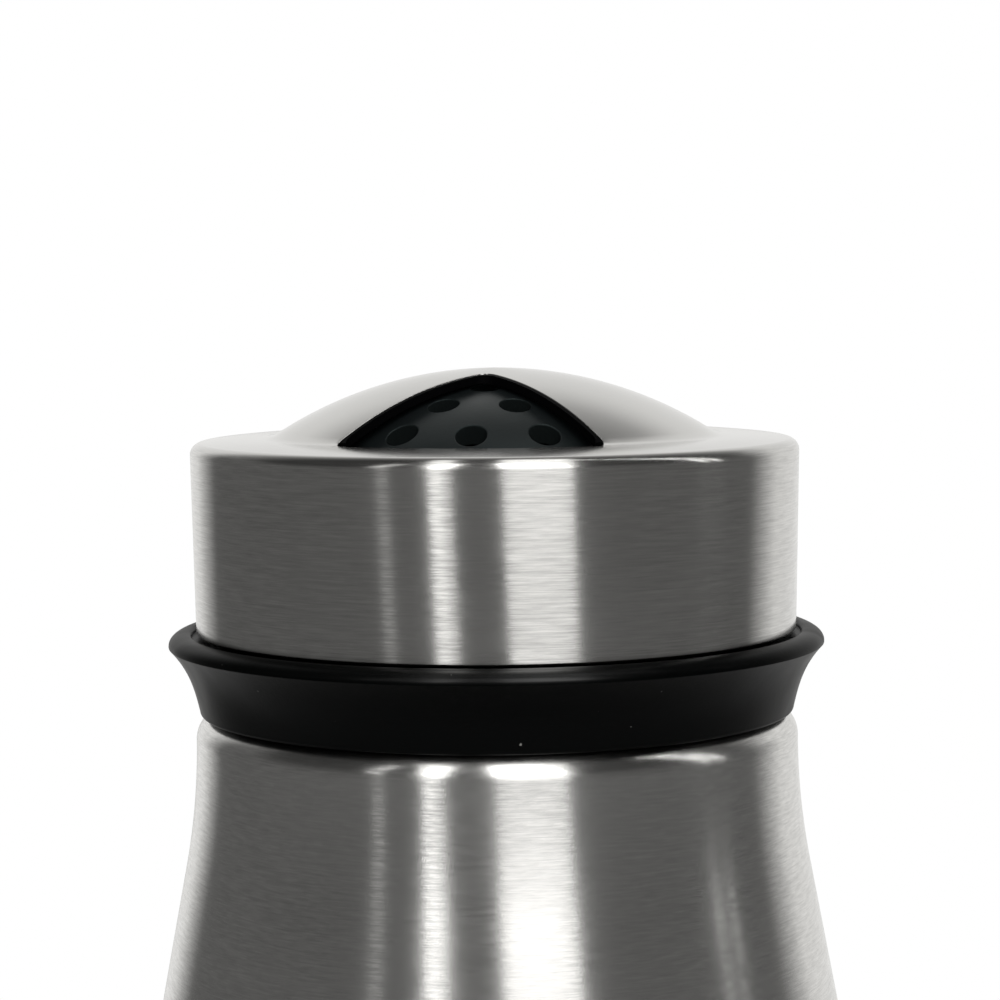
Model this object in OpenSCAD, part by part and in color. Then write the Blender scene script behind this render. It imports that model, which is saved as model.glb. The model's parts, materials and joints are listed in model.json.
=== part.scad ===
// Twist-top spice shaker: a glass jar in a bell-shaped steel sleeve, a screw-on
// lid with a perforated sifter dome, and a steel cap with a window that turns
// over one quarter of the sifter at a time.
// Millimetres. +Z is up, the base stands on z = 0 and the window faces -Y.

/* [Body] */
// Radius of the glass base, the widest part of the shaker
base_r = 31.7; // [29:0.1:36]
// Height of the steel sleeve's shoulder above the table
body_h = 93.2; // [82:0.1:115]
// Height of the straight stretch of the base
base_band_h = 9.6; // [6:0.2:14]
// Share of the bell's height over which its flare opens
flare_start = 0.12; // [0.08:0.01:0.18]
// Share of the bell's height at which its flare begins to close
flare_end = 0.24; // [0.2:0.01:0.4]

/* [Sleeve] */
// Thickness of the sleeve's steel
sleeve_t = 0.5; // [0.4:0.05:0.7]
// Outside radius of the sleeve's shoulder corner
sleeve_corner_r = 2; // [1:0.1:2.4]
// Height of the folded hem at the sleeve's lower edge
hem_h = 2.2; // [1.5:0.1:4]
// Air space between the sleeve and the glass
sleeve_gap = 0.8; // [0.7:0.05:1.2]
// Thickness of the cushion ring under the sleeve
cushion_t = 0.6; // [0.4:0.1:1.2]
// How far the cushion ring stays inside the sleeve's outer face
cushion_inset = 0.1; // [0:0.05:0.3]
// Thickness of the washer under the sleeve's shoulder
neck_washer_t = 1; // [0.6:0.1:1.6]
// Clearance between the soft rings and the glass inside them
ring_fit = 0.15; // [0.05:0.05:0.3]

/* [Jar] */
// Height of the glass that shows below the sleeve
glass_band_h = 23.4; // [16:0.2:34]
// Wall of the glass jar
glass_wall = 2.5; // [1.8:0.1:3.2]
// Thickness of the glass floor
glass_floor = 6; // [4:0.5:10]
// Radius of the heel round the base
heel_r = 3; // [1.5:0.5:5]
// Radius of the corner between the floor and the wall inside
floor_corner_r = 4; // [2:0.5:6]
// Depth of the hollow under the base
push_up_h = 0.8; // [0.4:0.1:1.6]
// Width of the ring that the jar stands on
stand_w = 4; // [3:0.5:6]
// Outside radius of the jar's shoulder corner
jar_corner_r = 2; // [1.5:0.1:2.6]
// Inside radius of the corner under the jar's shoulder
jar_inner_r = 1.5; // [1:0.1:2]
// Radius of the bend from the shoulder into the neck, inside
neck_bend_r = 1; // [0.6:0.1:1.5]
// Outside radius of the neck at the root of its thread
neck_r = 17.4; // [17:0.1:18.2]
// Wall of the neck
neck_wall = 2.1; // [1.6:0.1:2.2]
// Radius of the mouth's rounded edges
mouth_round = 0.9; // [0.4:0.1:1]

/* [Thread] */
// Rise of the thread in one turn
thread_pitch = 3.2; // [2.8:0.1:4]
// Height of the thread above the neck
thread_depth = 1.1; // [0.8:0.05:1.2]
// Turns of thread on the neck and in the collar
thread_turns = 1.25; // [1:0.05:1.5]
// Width of the thread at its root
thread_root_w = 1.3; // [1:0.05:1.4]
// Width of the thread at its crest
thread_crest_w = 0.7; // [0.5:0.05:0.9]
// Distance from the mouth down to the end of the neck's thread
thread_drop = 3.4; // [2.8:0.1:5]
// Clearance between a thread's crest and the wall it faces
thread_gap = 0.4; // [0.3:0.05:0.5]

/* [Collar] */
// Wall of the collar behind its thread
collar_wall = 2; // [1.8:0.1:2.6]
// Height of the flared part of the collar, up to the ledge under the cap
collar_h = 5.55; // [5.2:0.05:8]
// Reach of the collar's waist past its upright wall
waist_out = 2.1; // [1.8:0.1:3]
// Reach of the collar's lip past its upright wall
lip_out = 4.1; // [3.6:0.1:5.5]
// Height of the thin edge of the lip
lip_edge_t = 0.1; // [0.05:0.05:0.5]
// Width of the rounded top of the lip
lip_crown_w = 1.4; // [0.8:0.1:1.8]
// Height of the rounded top of the lip
lip_crown_h = 0.9; // [0.3:0.05:1]
// How far the lip's rounded top stands above the ledge under the cap
lip_rise = 0.4; // [0.1:0.05:0.45]
// Radius of the collar's lower corner
collar_foot_r = 0.3; // [0.2:0.1:1]
// How much narrower the collar's foot is than the sleeve's shoulder, on the radius
collar_foot_in = 0.3; // [0:0.1:0.8]
// Share of the collar's flare that opens evenly, before the rest curls out to the lip
sweep_even = 0.5; // [0:0.02:1]
// Chamfer at the lower end of the collar's bore
collar_chamfer = 0.5; // [0.2:0.1:0.8]
// How far the collar's foot laps down over the sleeve's rounded shoulder
collar_lap = 0.25; // [0.1:0.05:0.3]
// Width of the part of the foot that laps over the shoulder
collar_lap_w = 0.75; // [0.5:0.05:0.8]
// Space between the collar and the sleeve's shoulder
collar_gap = 0.15; // [0.1:0.05:0.8]

/* [Cap] */
// Height of the cap's upright wall
cap_h = 14.4; // [13:0.1:18]
// Gap between the cap's lower edge and the collar's ledge
cap_gap = 0.45; // [0.3:0.05:1.2]
// How much wider the cap is at its shoulder than at its lower edge, on the radius
cap_taper = 0.25; // [0:0.05:0.4]
// Thickness of the cap's steel
cap_steel_t = 0.3; // [0.25:0.05:0.5]
// Outside radius of the cap's shoulder corner
cap_corner_r = 0.9; // [0.8:0.1:2]
// Radius of the dome's foot
dome_foot_r = 17.4; // [17:0.1:18]
// Height of the dome above the cap's shoulder
dome_h = 5.4; // [4.5:0.1:7]
// Radius of the concave blend between the dome and the shoulder
dome_blend_r = 2; // [1:0.1:2.2]
// Radius at which the window's lower edge lies
window_r = 17.3; // [16:0.1:17.4]
// Distance from the window's flanks to the edges of its quarter
window_margin = 2.8; // [2.3:0.1:3.5]
// Radius of the window's two lower corners
window_corner_r = 0.9; // [0.5:0.1:1.4]
// Radius of the window's upper corner
window_apex_r = 1; // [0.5:0.1:1.5]

/* [Carrier] */
// Thickness of the carrier under the cap's dome
liner_t = 0.3; // [0.25:0.05:0.6]
// Thickness of the carrier's upright wall
carrier_wall = 1.35; // [1.2:0.05:1.6]
// Width of the carrier's lip round the inside of the window
window_lip_w = 0.35; // [0.2:0.05:0.5]
// How far the lip's edge lies below the surface of the steel
window_lip_drop = 0.03; // [0.02:0.01:0.1]
// How far the carrier's wall stays above the cap's lower edge
carrier_lift = 0.3; // [0.1:0.1:1]
// Clearance between the carrier and the cap
cap_fit = 0.03; // [0.02:0.01:0.08]
// Running gap between the carrier and the sifter's dome
run_gap = 0.15; // [0.1:0.05:0.3]
// Running gap between the carrier's wall and the lid's
wall_gap = 0.3; // [0.2:0.05:0.4]

/* [Sifter] */
// Thickness of the sifter's dome
sifter_t = 1.2; // [1:0.1:1.5]
// How much further the sifter's dome falls than the cap's, at the dome's foot
sifter_drop = 1.4; // [0:0.1:1.8]
// Thickness of the sifter's flange
flange_t = 1.5; // [1.2:0.1:2]
// How much narrower the hollow under the dome is than the jar's neck
throat_step = 0.15; // [0.05:0.05:0.3]
// Depth of the spigot that enters the collar
spigot_h = 3; // [2:0.1:3.6]
// Wall of the spigot
spigot_wall = 0.8; // [0.7:0.05:0.9]
// Chamfer at the spigot's end
spigot_chamfer = 0.3; // [0.1:0.05:0.4]
// Clearance between the spigot and the collar
spigot_fit = 0.05; // [0.02:0.01:0.08]
// Depth of the recess in the collar's wall that takes the spigot
recess_step = 0.6; // [0.5:0.05:0.8]
// Space between the spigot's end and the bottom of its recess
spigot_gap = 0.3; // [0.1:0.05:0.5]

/* [Seal] */
// Thickness of the gasket that the jar's mouth closes on
seal_t = 1.2; // [0.8:0.1:1.8]
// Play between the mouth and the gasket
seal_play = 0.05; // [0.02:0.01:0.1]
// Clearance between the gasket and the spigot
seal_fit = 0.1; // [0.05:0.05:0.2]
// How far the gasket reaches inside the mouth
seal_lap = 0.1; // [0:0.05:0.2]

/* [Holes] */
// Radius of the coarse sprinkle holes
coarse_hole_r = 1.15; // [0.9:0.05:1.4]
// Distance from the axis to the first coarse hole
coarse_first_r = 4.9; // [4.5:0.1:5.2]
// Distance between the rows of coarse holes
coarse_row_step = 4.1; // [3.7:0.05:4.3]
// Distance between the holes of one coarse row
coarse_pitch = 5.3; // [4.5:0.05:5.6]
// Radius of the fine sprinkle holes
fine_hole_r = 0.6; // [0.4:0.05:0.75]
// Distance from the axis to the first fine hole
fine_first_r = 4.6; // [4:0.1:5]
// Distance between the rows of fine holes
fine_row_step = 3.1; // [2.6:0.1:3.2]
// Distance between the holes of one fine row
fine_pitch = 3.6; // [2.8:0.1:4]
// Radius at which the pour opening ends
pour_r = 14.6; // [12:0.1:14.8]
// Distance from the pour opening's flanks to the edges of its quarter
pour_margin = 3.4; // [2.8:0.1:4.5]
// Radius of the pour opening's corners
pour_corner_r = 1; // [0.5:0.1:1.5]

/* [Pivot] */
// Radius of the carrier's pivot post
post_r = 1.5; // [1.4:0.05:1.6]
// Radial clearance of the post in the sifter
post_fit = 0.06; // [0.03:0.01:0.09]
// Radius of the boss under the sifter
boss_r = 2.5; // [2.2:0.05:2.6]
// Depth of the boss under the sifter's dome
boss_h = 1.5; // [1:0.1:2.5]
// Thickness of the spring washer
spring_t = 0.3; // [0.2:0.05:0.5]
// Play between the spring washer and the boss
spring_play = 0.03; // [0.02:0.01:0.08]
// Thickness of the flat washer
washer_t = 0.5; // [0.4:0.05:0.8]
// Clearance of the washers round the post and the screw
washer_fit = 0.1; // [0.05:0.05:0.2]
// Radius of the pivot screw's shank
screw_r = 0.8; // [0.6:0.05:0.9]
// Clearance between the screw's shank and the post
screw_fit = 0.02; // [0.01:0.01:0.05]
// Length of the screw's shank inside the post
screw_bite = 2.4; // [1.8:0.1:2.6]
// Depth of the post's hole past the screw's end
screw_spare = 0.2; // [0.1:0.05:0.3]
// Radius of the screw's head
screw_head_r = 1.7; // [1.4:0.05:2]
// Height of the screw's head
screw_head_h = 1; // [0.8:0.05:1.4]
// Length of the slots in the screw's head
slot_l = 2.2; // [1.6:0.1:2.6]
// Width of the slots in the screw's head
slot_w = 0.5; // [0.3:0.05:0.6]
// Depth of the slots in the screw's head
slot_depth = 0.5; // [0.3:0.05:0.6]

/* [Click spring] */
// Thickness of the click spring's steel
click_t = 0.25; // [0.2:0.05:0.3]
// Height of the click spring
click_h = 3.6; // [2.6:0.1:4.4]
// Angle that the click spring spans
click_angle = 26; // [18:1:36]
// Radius of the spring's nose
nose_r = 0.8; // [0.7:0.05:0.9]
// How far the nose stands out of the spring towards the lid
nose_out = 0.75; // [0.6:0.05:0.8]
// How deep the spring lies in the carrier's wall
click_inset = 0.1; // [0.05:0.05:0.2]
// Room behind, above and below the spring in its pocket
pocket_play = 0.15; // [0.1:0.05:0.2]
// Room at each end of the pocket, as an angle
pocket_turn = 1; // [0.5:0.5:2]
// Depth of the track in the lid's wall
track_depth = 0.6; // [0.5:0.05:0.7]
// Height of the track in the lid's wall
track_h = 2.4; // [2.2:0.1:3]
// Extra depth of the four resting dimples
dimple_depth = 0.35; // [0.2:0.05:0.4]

/* [Hidden] */
$fn = 96;
quarter = 90;
// How far a cutting shape reaches past the face that it opens
cut = 1;
// Overlap of two shapes that are joined
eps = 0.01;

// Radii, from the neck outwards
bore_r = neck_r - neck_wall;
thread_r = neck_r + thread_depth;
collar_bore_r = thread_r + thread_gap;
lid_r = collar_bore_r + collar_wall;
waist_r = lid_r + waist_out;
lip_r = lid_r + lip_out;
collar_foot_out_r = waist_r - collar_foot_in;
collar_lap_r = collar_foot_out_r - collar_lap_w;
carrier_in_r = lid_r + wall_gap;
carrier_out_r = carrier_in_r + carrier_wall;
cap_foot_r = carrier_out_r + cap_fit + cap_steel_t;
cap_r = cap_foot_r + cap_taper;

// Heights, from the table upwards
sleeve_foot_z = glass_band_h + cushion_t;
jar_shoulder_z = body_h - sleeve_t - neck_washer_t;
bell_top_z = body_h - sleeve_corner_r;
collar_z = body_h + collar_gap;
collar_foot_z = collar_z - collar_lap;
lip_z = collar_z + collar_h;
lip_top_z = lip_z + lip_rise;
cap_z = lip_z + cap_gap;
cap_shoulder_z = cap_z + cap_h;
top_z = cap_shoulder_z + dome_h;

// The jar inside its sleeve
sleeve_hole_r = thread_r + thread_gap;
jar_skin = sleeve_t + sleeve_gap;
jar_flat_r = waist_r - jar_skin - jar_corner_r;

// Depths of the nested domes below the cap's outer surface
carrier_skin = cap_steel_t + cap_fit;
carrier_depth = carrier_skin + liner_t;
sifter_skin = carrier_depth + run_gap;
flange_top_z = cap_shoulder_z - sifter_skin - sifter_drop;
flange_z = flange_top_z - flange_t;
mouth_z = flange_z - seal_t - seal_play;

// The radii of the cap's dome and of the steeper sifter under it
dome_r = cap_radius(dome_h);
sifter_r = cap_radius(dome_h + sifter_drop);
sifter_top_z = top_z - sifter_skin;
sifter_centre_z = sifter_top_z - sifter_r;

// The lid's sealing face and its spigot
recess_r = collar_bore_r + recess_step;
spigot_r = recess_r - spigot_fit;
spigot_in_r = spigot_r - spigot_wall;
seal_r = spigot_in_r - seal_fit;
seal_in_r = bore_r - seal_lap;
throat_r = bore_r - throat_step;

// The pivot under the middle of the sifter
boss_z = sifter_top_z - sifter_t - boss_h;
post_end_z = boss_z - spring_t - spring_play;
washer_z = post_end_z - washer_t;
washer_r = boss_r;

// The click spring in its pocket, and its track in the lid
click_in_r = carrier_in_r + click_inset;
click_z = (lip_z + flange_z) / 2;
track_r = lid_r - track_depth;

function arc(cx, cz, r, a0, a1, n) =
    [for (i = [0:n]) let (a = a0 + (a1 - a0) * i / n) [cx + r * cos(a), cz + r * sin(a)]];

function reverse(list) = [for (i = [len(list) - 1:-1:0]) list[i]];

// Area under the bell's slope from its top down to share u of its height: the
// slope opens to flare_start, holds to flare_end and closes at the base
function flare_area(u) =
    u < flare_start ? u * u / (2 * flare_start)
    : u < flare_end ? flare_start / 2 + u - flare_start
    : flare_start / 2 + u - flare_start - pow(u - flare_end, 2) / (2 * (1 - flare_end));

// Outside radius of the bell at height z
function bell_r(z) =
    let (u = max(0, min(1, (bell_top_z - z) / (bell_top_z - base_band_h))))
    waist_r + (base_r - waist_r) * flare_area(u) / flare_area(1);

// The bell's outline from z0 to z1, moved inwards by an inset
function bell(z0, z1, inset, n) =
    [for (i = [0:n]) let (z = z0 + (z1 - z0) * i / n) [bell_r(z) - inset, z]];

// Radius of the sphere that rises by h inside the dome's foot
function cap_radius(h) = (dome_foot_r * dome_foot_r + h * h) / (2 * h);

// A dome of radius r that falls from top to a flat shoulder through a concave
// blend, moved down into its own thickness by depth
function dome(r, top, shoulder, depth) =
    let (rise = shoulder + dome_blend_r - (top - r))
    let (run = sqrt(pow(r + dome_blend_r, 2) - rise * rise), a = atan2(rise, run))
    concat(
        [[0, top - depth]],
        arc(0, top - r, r - depth, 88, a, 20),
        arc(run, shoulder + dome_blend_r, dome_blend_r + depth, a + 180, 270, 6));

// The cap's outline from its top over the shoulder's corner to the lower edge z0
function cap_outline(depth, z0) = concat(
    dome(dome_r, top_z, cap_shoulder_z, depth),
    arc(cap_r - cap_corner_r, cap_shoulder_z - cap_corner_r, cap_corner_r - depth, 90, 0, 8),
    [[cap_foot_r + cap_taper * (z0 - cap_z) / cap_h - depth, z0]]);

// The collar's sweep, which opens from its foot and curls out to the lip
function flare(z0, z1, n) =
    [for (i = [0:n])
        let (t = i / n, share = sweep_even * t + (1 - sweep_even) * pow(t, 3))
        [collar_foot_out_r + (lip_r - collar_foot_out_r) * share, z0 + (z1 - z0) * t]];

// The collar's rounded lip, from its edge over its top and down to the ledge
function crown(n) = concat(
    [for (i = [0:n]) let (a = quarter * i / n)
        [lip_r - lip_crown_w * (1 - cos(a)), lip_top_z - lip_crown_h * (1 - sin(a))]],
    arc(lip_r - lip_crown_w, lip_z, lip_rise, quarter + 15, 2 * quarter, 5));

// A quarter of a circle with a margin along its two edges and rounded corners,
// pointing along +X
function quarter_outline(margin, r, corner_r, apex_r) =
    let (half = quarter / 2, skip = 12)
    let (side = half - asin((margin + corner_r) / (r - corner_r)))
    let (cx = (r - corner_r) * cos(side), cy = (r - corner_r) * sin(side))
    let (apex = (margin + apex_r) / sin(half))
    concat(
        arc(0, 0, r, -side, side, 20),
        arc(cx, cy, corner_r, side + skip, half + 90, 6),
        arc(apex, 0, apex_r, half + 90, 270 - half, 6),
        arc(cx, -cy, corner_r, 270 - half, 360 - skip - side, 6));

// A right-hand thread: a trapezoid swept up a helix, fading out at both ends.
// Its foot is sunk into the wall that carries it.
module thread(root_r, crest_r, z0) {
    steps = round(thread_turns * 36);
    fade = 3;
    first_share = 0.13;
    sink = 0.3;
    height = crest_r - root_r;
    rings = [for (i = [0:steps])
        let (share = min(1, min(i, steps - i) / fade + first_share))
        let (a = 360 * thread_turns * i / steps, z = z0 + thread_pitch * thread_turns * i / steps)
        let (tip = root_r + height * share, foot = root_r - sign(height) * sink)
        let (w0 = thread_root_w / 2, w1 = thread_crest_w / 2)
        [for (p = [[foot, -w0], [tip, -w1], [tip, w1], [foot, w0]])
            [p[0] * cos(a), p[0] * sin(a), z + p[1]]]];
    points = [for (ring = rings) each ring];
    sides = [for (i = [0:steps - 1], k = [0:3])
        let (a = 4 * i + k, b = 4 * i + (k + 1) % 4)
        each [[a, b, b + 4], [a, b + 4, a + 4]]];
    ends = [[3, 2, 1], [3, 1, 0],
            [4 * steps, 4 * steps + 1, 4 * steps + 2], [4 * steps, 4 * steps + 2, 4 * steps + 3]];
    faces = concat(sides, ends);
    polyhedron(points, height > 0 ? faces : [for (f = faces) reverse(f)]);
}

module ring(r_out, r_in, h) {
    difference() {
        cylinder(r = r_out, h = h);
        translate([0, 0, -cut]) cylinder(r = r_in, h = h + 2 * cut);
    }
}

module glass_jar() {
    inner_z = jar_shoulder_z - glass_wall;
    wall_skin = jar_skin + glass_wall;
    hollow_r = base_r - heel_r - stand_w;
    outside = concat(
        [[0, push_up_h], [hollow_r - 2 * push_up_h, push_up_h], [hollow_r, 0], [base_r - heel_r, 0]],
        arc(base_r - heel_r, heel_r, heel_r, -80, 0, 8),
        bell(base_band_h, glass_band_h, 0, 6),
        bell(glass_band_h, jar_shoulder_z - jar_corner_r, jar_skin, 26),
        arc(jar_flat_r, jar_shoulder_z - jar_corner_r, jar_corner_r, 10, 90, 7),
        [[neck_r, jar_shoulder_z], [neck_r, mouth_z - mouth_round]],
        arc(neck_r - mouth_round, mouth_z - mouth_round, mouth_round, 15, 90, 5));
    inside = concat(
        arc(bore_r + mouth_round, mouth_z - mouth_round, mouth_round, 90, 180, 6),
        arc(bore_r + neck_bend_r, inner_z + neck_bend_r, neck_bend_r, 180, 270, 5),
        arc(waist_r - wall_skin - jar_inner_r, inner_z - jar_inner_r, jar_inner_r, 90, 0, 6),
        bell(inner_z - 2 * jar_inner_r, glass_floor + floor_corner_r, wall_skin, 26),
        arc(base_r - wall_skin - floor_corner_r, glass_floor + floor_corner_r, floor_corner_r,
            -10, -90, 8),
        [[0, glass_floor]]);
    color("#dfe9e8") {
        rotate_extrude() polygon(concat(outside, inside));
        thread(neck_r, thread_r, mouth_z - thread_drop - thread_pitch * thread_turns);
    }
}

module body_sleeve() {
    outside = concat(
        bell(sleeve_foot_z, bell_top_z, 0, 30),
        arc(waist_r - sleeve_corner_r, bell_top_z, sleeve_corner_r, 12, 90, 7));
    inside = concat(
        arc(waist_r - sleeve_corner_r, bell_top_z, sleeve_corner_r - sleeve_t, 90, 12, 7),
        bell(bell_top_z, sleeve_foot_z + hem_h, sleeve_t, 30),
        bell(sleeve_foot_z + hem_h - sleeve_t, sleeve_foot_z, 2 * sleeve_t, 2));
    color("#8f8f8c")
    rotate_extrude()
    polygon(concat(outside, [[sleeve_hole_r, body_h], [sleeve_hole_r, body_h - sleeve_t]], inside));
}

module neck_washer() {
    color("#3a3b3c")
    translate([0, 0, jar_shoulder_z])
    ring(jar_flat_r, neck_r + ring_fit, neck_washer_t);
}

module sleeve_cushion() {
    r = bell_r(sleeve_foot_z);
    color("#202122")
    translate([0, 0, glass_band_h])
    ring(r - cushion_inset, r - jar_skin + ring_fit, cushion_t);
}

module lid_seal() {
    color("#c9c9c4") translate([0, 0, flange_z - seal_t]) ring(seal_r, seal_in_r, seal_t);
}

module collar() {
    edge_z = lip_top_z - lip_crown_h - lip_edge_t;
    recess_z = flange_z - spigot_h - spigot_gap;
    thread_top_z = mouth_z - thread_drop - thread_pitch / 2;
    outside = concat(
        [[collar_bore_r + collar_chamfer, collar_z], [collar_lap_r, collar_z],
         [collar_lap_r, collar_foot_z], [collar_foot_out_r - collar_foot_r, collar_foot_z]],
        arc(collar_foot_out_r - collar_foot_r, collar_foot_z + collar_foot_r, collar_foot_r,
            -80, -15, 5),
        flare(collar_foot_z + collar_foot_r, edge_z, 12),
        crown(8),
        [[lid_r, lip_z], [lid_r, flange_z]]);
    inside = [[recess_r, flange_z], [recess_r, recess_z],
              [collar_bore_r, recess_z - recess_step], [collar_bore_r, collar_z + collar_chamfer]];
    color("#17181a") {
        difference() {
            rotate_extrude() polygon(concat(outside, inside));
            click_track();
        }
        thread(collar_bore_r, neck_r + thread_gap, thread_top_z - thread_pitch * thread_turns);
    }
}

// A groove round the lid's wall, with a dimple at each quarter
module click_track() {
    translate([0, 0, click_z - track_h / 2]) ring(lid_r + cut, track_r, track_h);
    for (i = [0:3])
        rotate(quarter * i)
        translate([track_r - dimple_depth + nose_r, 0, click_z])
        sphere(r = nose_r);
}

// Upright holes in rows of one, two, three and so on
module hole_rows(hole_r, first_r, row_step, pitch, rows) {
    for (row = [0:rows - 1], k = [0:row]) {
        r = first_r + row * row_step;
        rotate((k - row / 2) * 2 * asin(pitch / 2 / r))
        translate([r, 0, flange_z - cut])
        cylinder(r = hole_r, h = top_z - flange_z + cut);
    }
}

module sifter() {
    under_r = sifter_r - sifter_t;
    under_a = acos(throat_r / under_r);
    top = concat(dome(sifter_r, sifter_top_z, flange_top_z, 0), [[lid_r, flange_top_z]]);
    under = concat(
        [[lid_r, flange_z], [spigot_r, flange_z], [spigot_r, flange_z - spigot_h + spigot_chamfer],
         [spigot_r - spigot_chamfer, flange_z - spigot_h], [spigot_in_r, flange_z - spigot_h],
         [spigot_in_r, flange_z], [throat_r, flange_z]],
        arc(0, sifter_centre_z, under_r, under_a, 88, 16),
        [[0, sifter_top_z - sifter_t]]);
    color("#3b4043")
    difference() {
        union() {
            rotate_extrude() polygon(concat(top, under));
            translate([0, 0, boss_z]) cylinder(r = boss_r, h = boss_h + sifter_t / 2);
        }
        translate([0, 0, boss_z - cut]) cylinder(r = post_r + post_fit, h = top_z - boss_z + cut);
        rotate(-quarter) hole_rows(coarse_hole_r, coarse_first_r, coarse_row_step, coarse_pitch, 3);
        hole_rows(fine_hole_r, fine_first_r, fine_row_step, fine_pitch, 4);
        rotate(quarter)
        translate([0, 0, flange_z - cut])
        linear_extrude(top_z - flange_z + cut)
        polygon(quarter_outline(pour_margin, pour_r, pour_corner_r, pour_corner_r));
    }
}

// The window that the cap and its carrier share, made smaller by an inset
module window(inset) {
    rotate(-quarter)
    translate([0, 0, cap_z])
    linear_extrude(top_z - cap_z + cut)
    polygon(quarter_outline(window_margin + inset, window_r - inset,
                            window_corner_r, window_apex_r));
}

module cap_shell() {
    color("#a3a29f")
    difference() {
        rotate_extrude()
        polygon(concat(cap_outline(0, cap_z), reverse(cap_outline(cap_steel_t, cap_z))));
        window(0);
    }
}

module cap_carrier() {
    foot_z = cap_z + carrier_lift;
    under = concat(dome(dome_r, top_z, cap_shoulder_z, carrier_depth),
                   [[carrier_in_r, cap_shoulder_z - carrier_depth], [carrier_in_r, foot_z]]);
    color("#0e0f10")
    difference() {
        union() {
            difference() {
                union() {
                    rotate_extrude()
                    polygon(concat(cap_outline(carrier_skin, foot_z), reverse(under)));
                    window_lip();
                }
                window(window_lip_w);
            }
            translate([0, 0, post_end_z])
            cylinder(r = post_r, h = top_z - carrier_depth - post_end_z + liner_t / 2);
        }
        translate([0, 0, post_end_z - cut])
        cylinder(r = screw_r + screw_fit, h = cut + screw_bite + screw_spare);
        click_pocket();
    }
}

// The part of the carrier that fills the steel's window up to the surface, along
// its two slanting sides only
module window_lip() {
    intersection() {
        cylinder(r = window_r - 2 * window_lip_w, h = top_z + cut);
        rotate_extrude()
        polygon(concat(dome(dome_r, top_z, cap_shoulder_z, window_lip_drop),
                       reverse(dome(dome_r, top_z, cap_shoulder_z, carrier_skin + liner_t / 2))));
        window(cap_fit);
    }
}

module click_pocket() {
    rotate(-click_angle / 2 - pocket_turn)
    translate([0, 0, click_z - click_h / 2 - pocket_play])
    rotate_extrude(angle = click_angle + 2 * pocket_turn)
    translate([carrier_in_r - cut, 0])
    square([cut + click_inset + click_t + pocket_play, click_h + 2 * pocket_play]);
}

module pivot_spring() {
    color("#b9b9b5") translate([0, 0, post_end_z]) ring(washer_r, post_r + washer_fit, spring_t);
}

module pivot_washer() {
    color("#b0b0ac") translate([0, 0, washer_z]) ring(washer_r, screw_r + washer_fit, washer_t);
}

module pivot_screw() {
    color("#c4c4bf")
    difference() {
        union() {
            translate([0, 0, washer_z - screw_head_h]) cylinder(r = screw_head_r, h = screw_head_h);
            translate([0, 0, washer_z - eps])
            cylinder(r = screw_r, h = washer_t + screw_bite + eps);
        }
        for (a = [0, quarter])
            rotate(a)
            translate([-slot_l / 2, -slot_w / 2, washer_z - screw_head_h - cut])
            cube([slot_l, slot_w, cut + slot_depth]);
    }
}

module click_spring() {
    color("#b5b4ae") {
        rotate(-click_angle / 2)
        translate([0, 0, click_z - click_h / 2])
        rotate_extrude(angle = click_angle)
        translate([click_in_r, 0])
        square([click_t, click_h]);
        intersection() {
            translate([click_in_r - nose_out + nose_r, 0, click_z]) sphere(r = nose_r);
            cylinder(r = click_in_r + click_t / 2, h = top_z);
        }
    }
}

glass_jar();
body_sleeve();
neck_washer();
sleeve_cushion();
lid_seal();
collar();
sifter();
cap_shell();
cap_carrier();
pivot_spring();
pivot_washer();
pivot_screw();
click_spring();
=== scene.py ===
"""Dresses the parts of a twist-top spice shaker and stands it in a plain studio.

Every length is in metres and every piece lies in the frame of the part itself:
+Z is up, the base stands on z = 0 and the window in the cap faces -Y.
"""
import json
import math

import bmesh
import bpy
import numpy as np
from bpy.props import FloatProperty, FloatVectorProperty, IntProperty, PointerProperty
from mathutils import Matrix, Vector
from mathutils.geometry import delaunay_2d_cdt


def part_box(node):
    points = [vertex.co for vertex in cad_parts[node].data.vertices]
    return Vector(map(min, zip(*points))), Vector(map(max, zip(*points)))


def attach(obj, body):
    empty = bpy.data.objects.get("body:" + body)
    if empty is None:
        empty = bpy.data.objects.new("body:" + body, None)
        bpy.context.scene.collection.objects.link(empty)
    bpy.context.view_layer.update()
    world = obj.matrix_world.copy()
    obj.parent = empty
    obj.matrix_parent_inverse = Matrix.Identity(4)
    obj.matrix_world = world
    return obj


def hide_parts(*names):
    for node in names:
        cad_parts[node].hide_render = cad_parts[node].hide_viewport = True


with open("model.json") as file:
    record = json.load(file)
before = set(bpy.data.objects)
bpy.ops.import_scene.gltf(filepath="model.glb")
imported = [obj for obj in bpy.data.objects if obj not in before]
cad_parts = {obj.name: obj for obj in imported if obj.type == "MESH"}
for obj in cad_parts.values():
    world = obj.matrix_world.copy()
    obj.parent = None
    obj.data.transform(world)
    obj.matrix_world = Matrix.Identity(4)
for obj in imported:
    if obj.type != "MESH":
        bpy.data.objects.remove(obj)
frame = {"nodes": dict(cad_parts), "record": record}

bl_info = {
    "name": "Twist-Top Spice Shaker",
    "version": (1, 0, 0),
    "blender": (4, 5, 0),
    "location": "View3D > Sidebar > Shaker",
    "description": "Dresses a spice shaker in brushed steel, black plastic, rubber and glass",
    "category": "Object",
}

MM = 0.001
# Facets round a large turned piece and round a small one
SEGMENTS = 256
FEW_SEGMENTS = 64
# Facets across a rounded edge
ROUND_STEPS = 4
# Distance between the points of a domed plate
PLATE_SPACING = 0.55 * MM
# Points closer than this are one point
WELD = 0.0002 * MM

# Bearings of the studio's wide and narrow softboxes, in degrees round the shaker
WIDE_BEARING = 16.7
NARROW_BEARING = -18.7
# Tint of the light that the tent's walls send back
GREY = (1, 0.995, 0.98)
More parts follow.
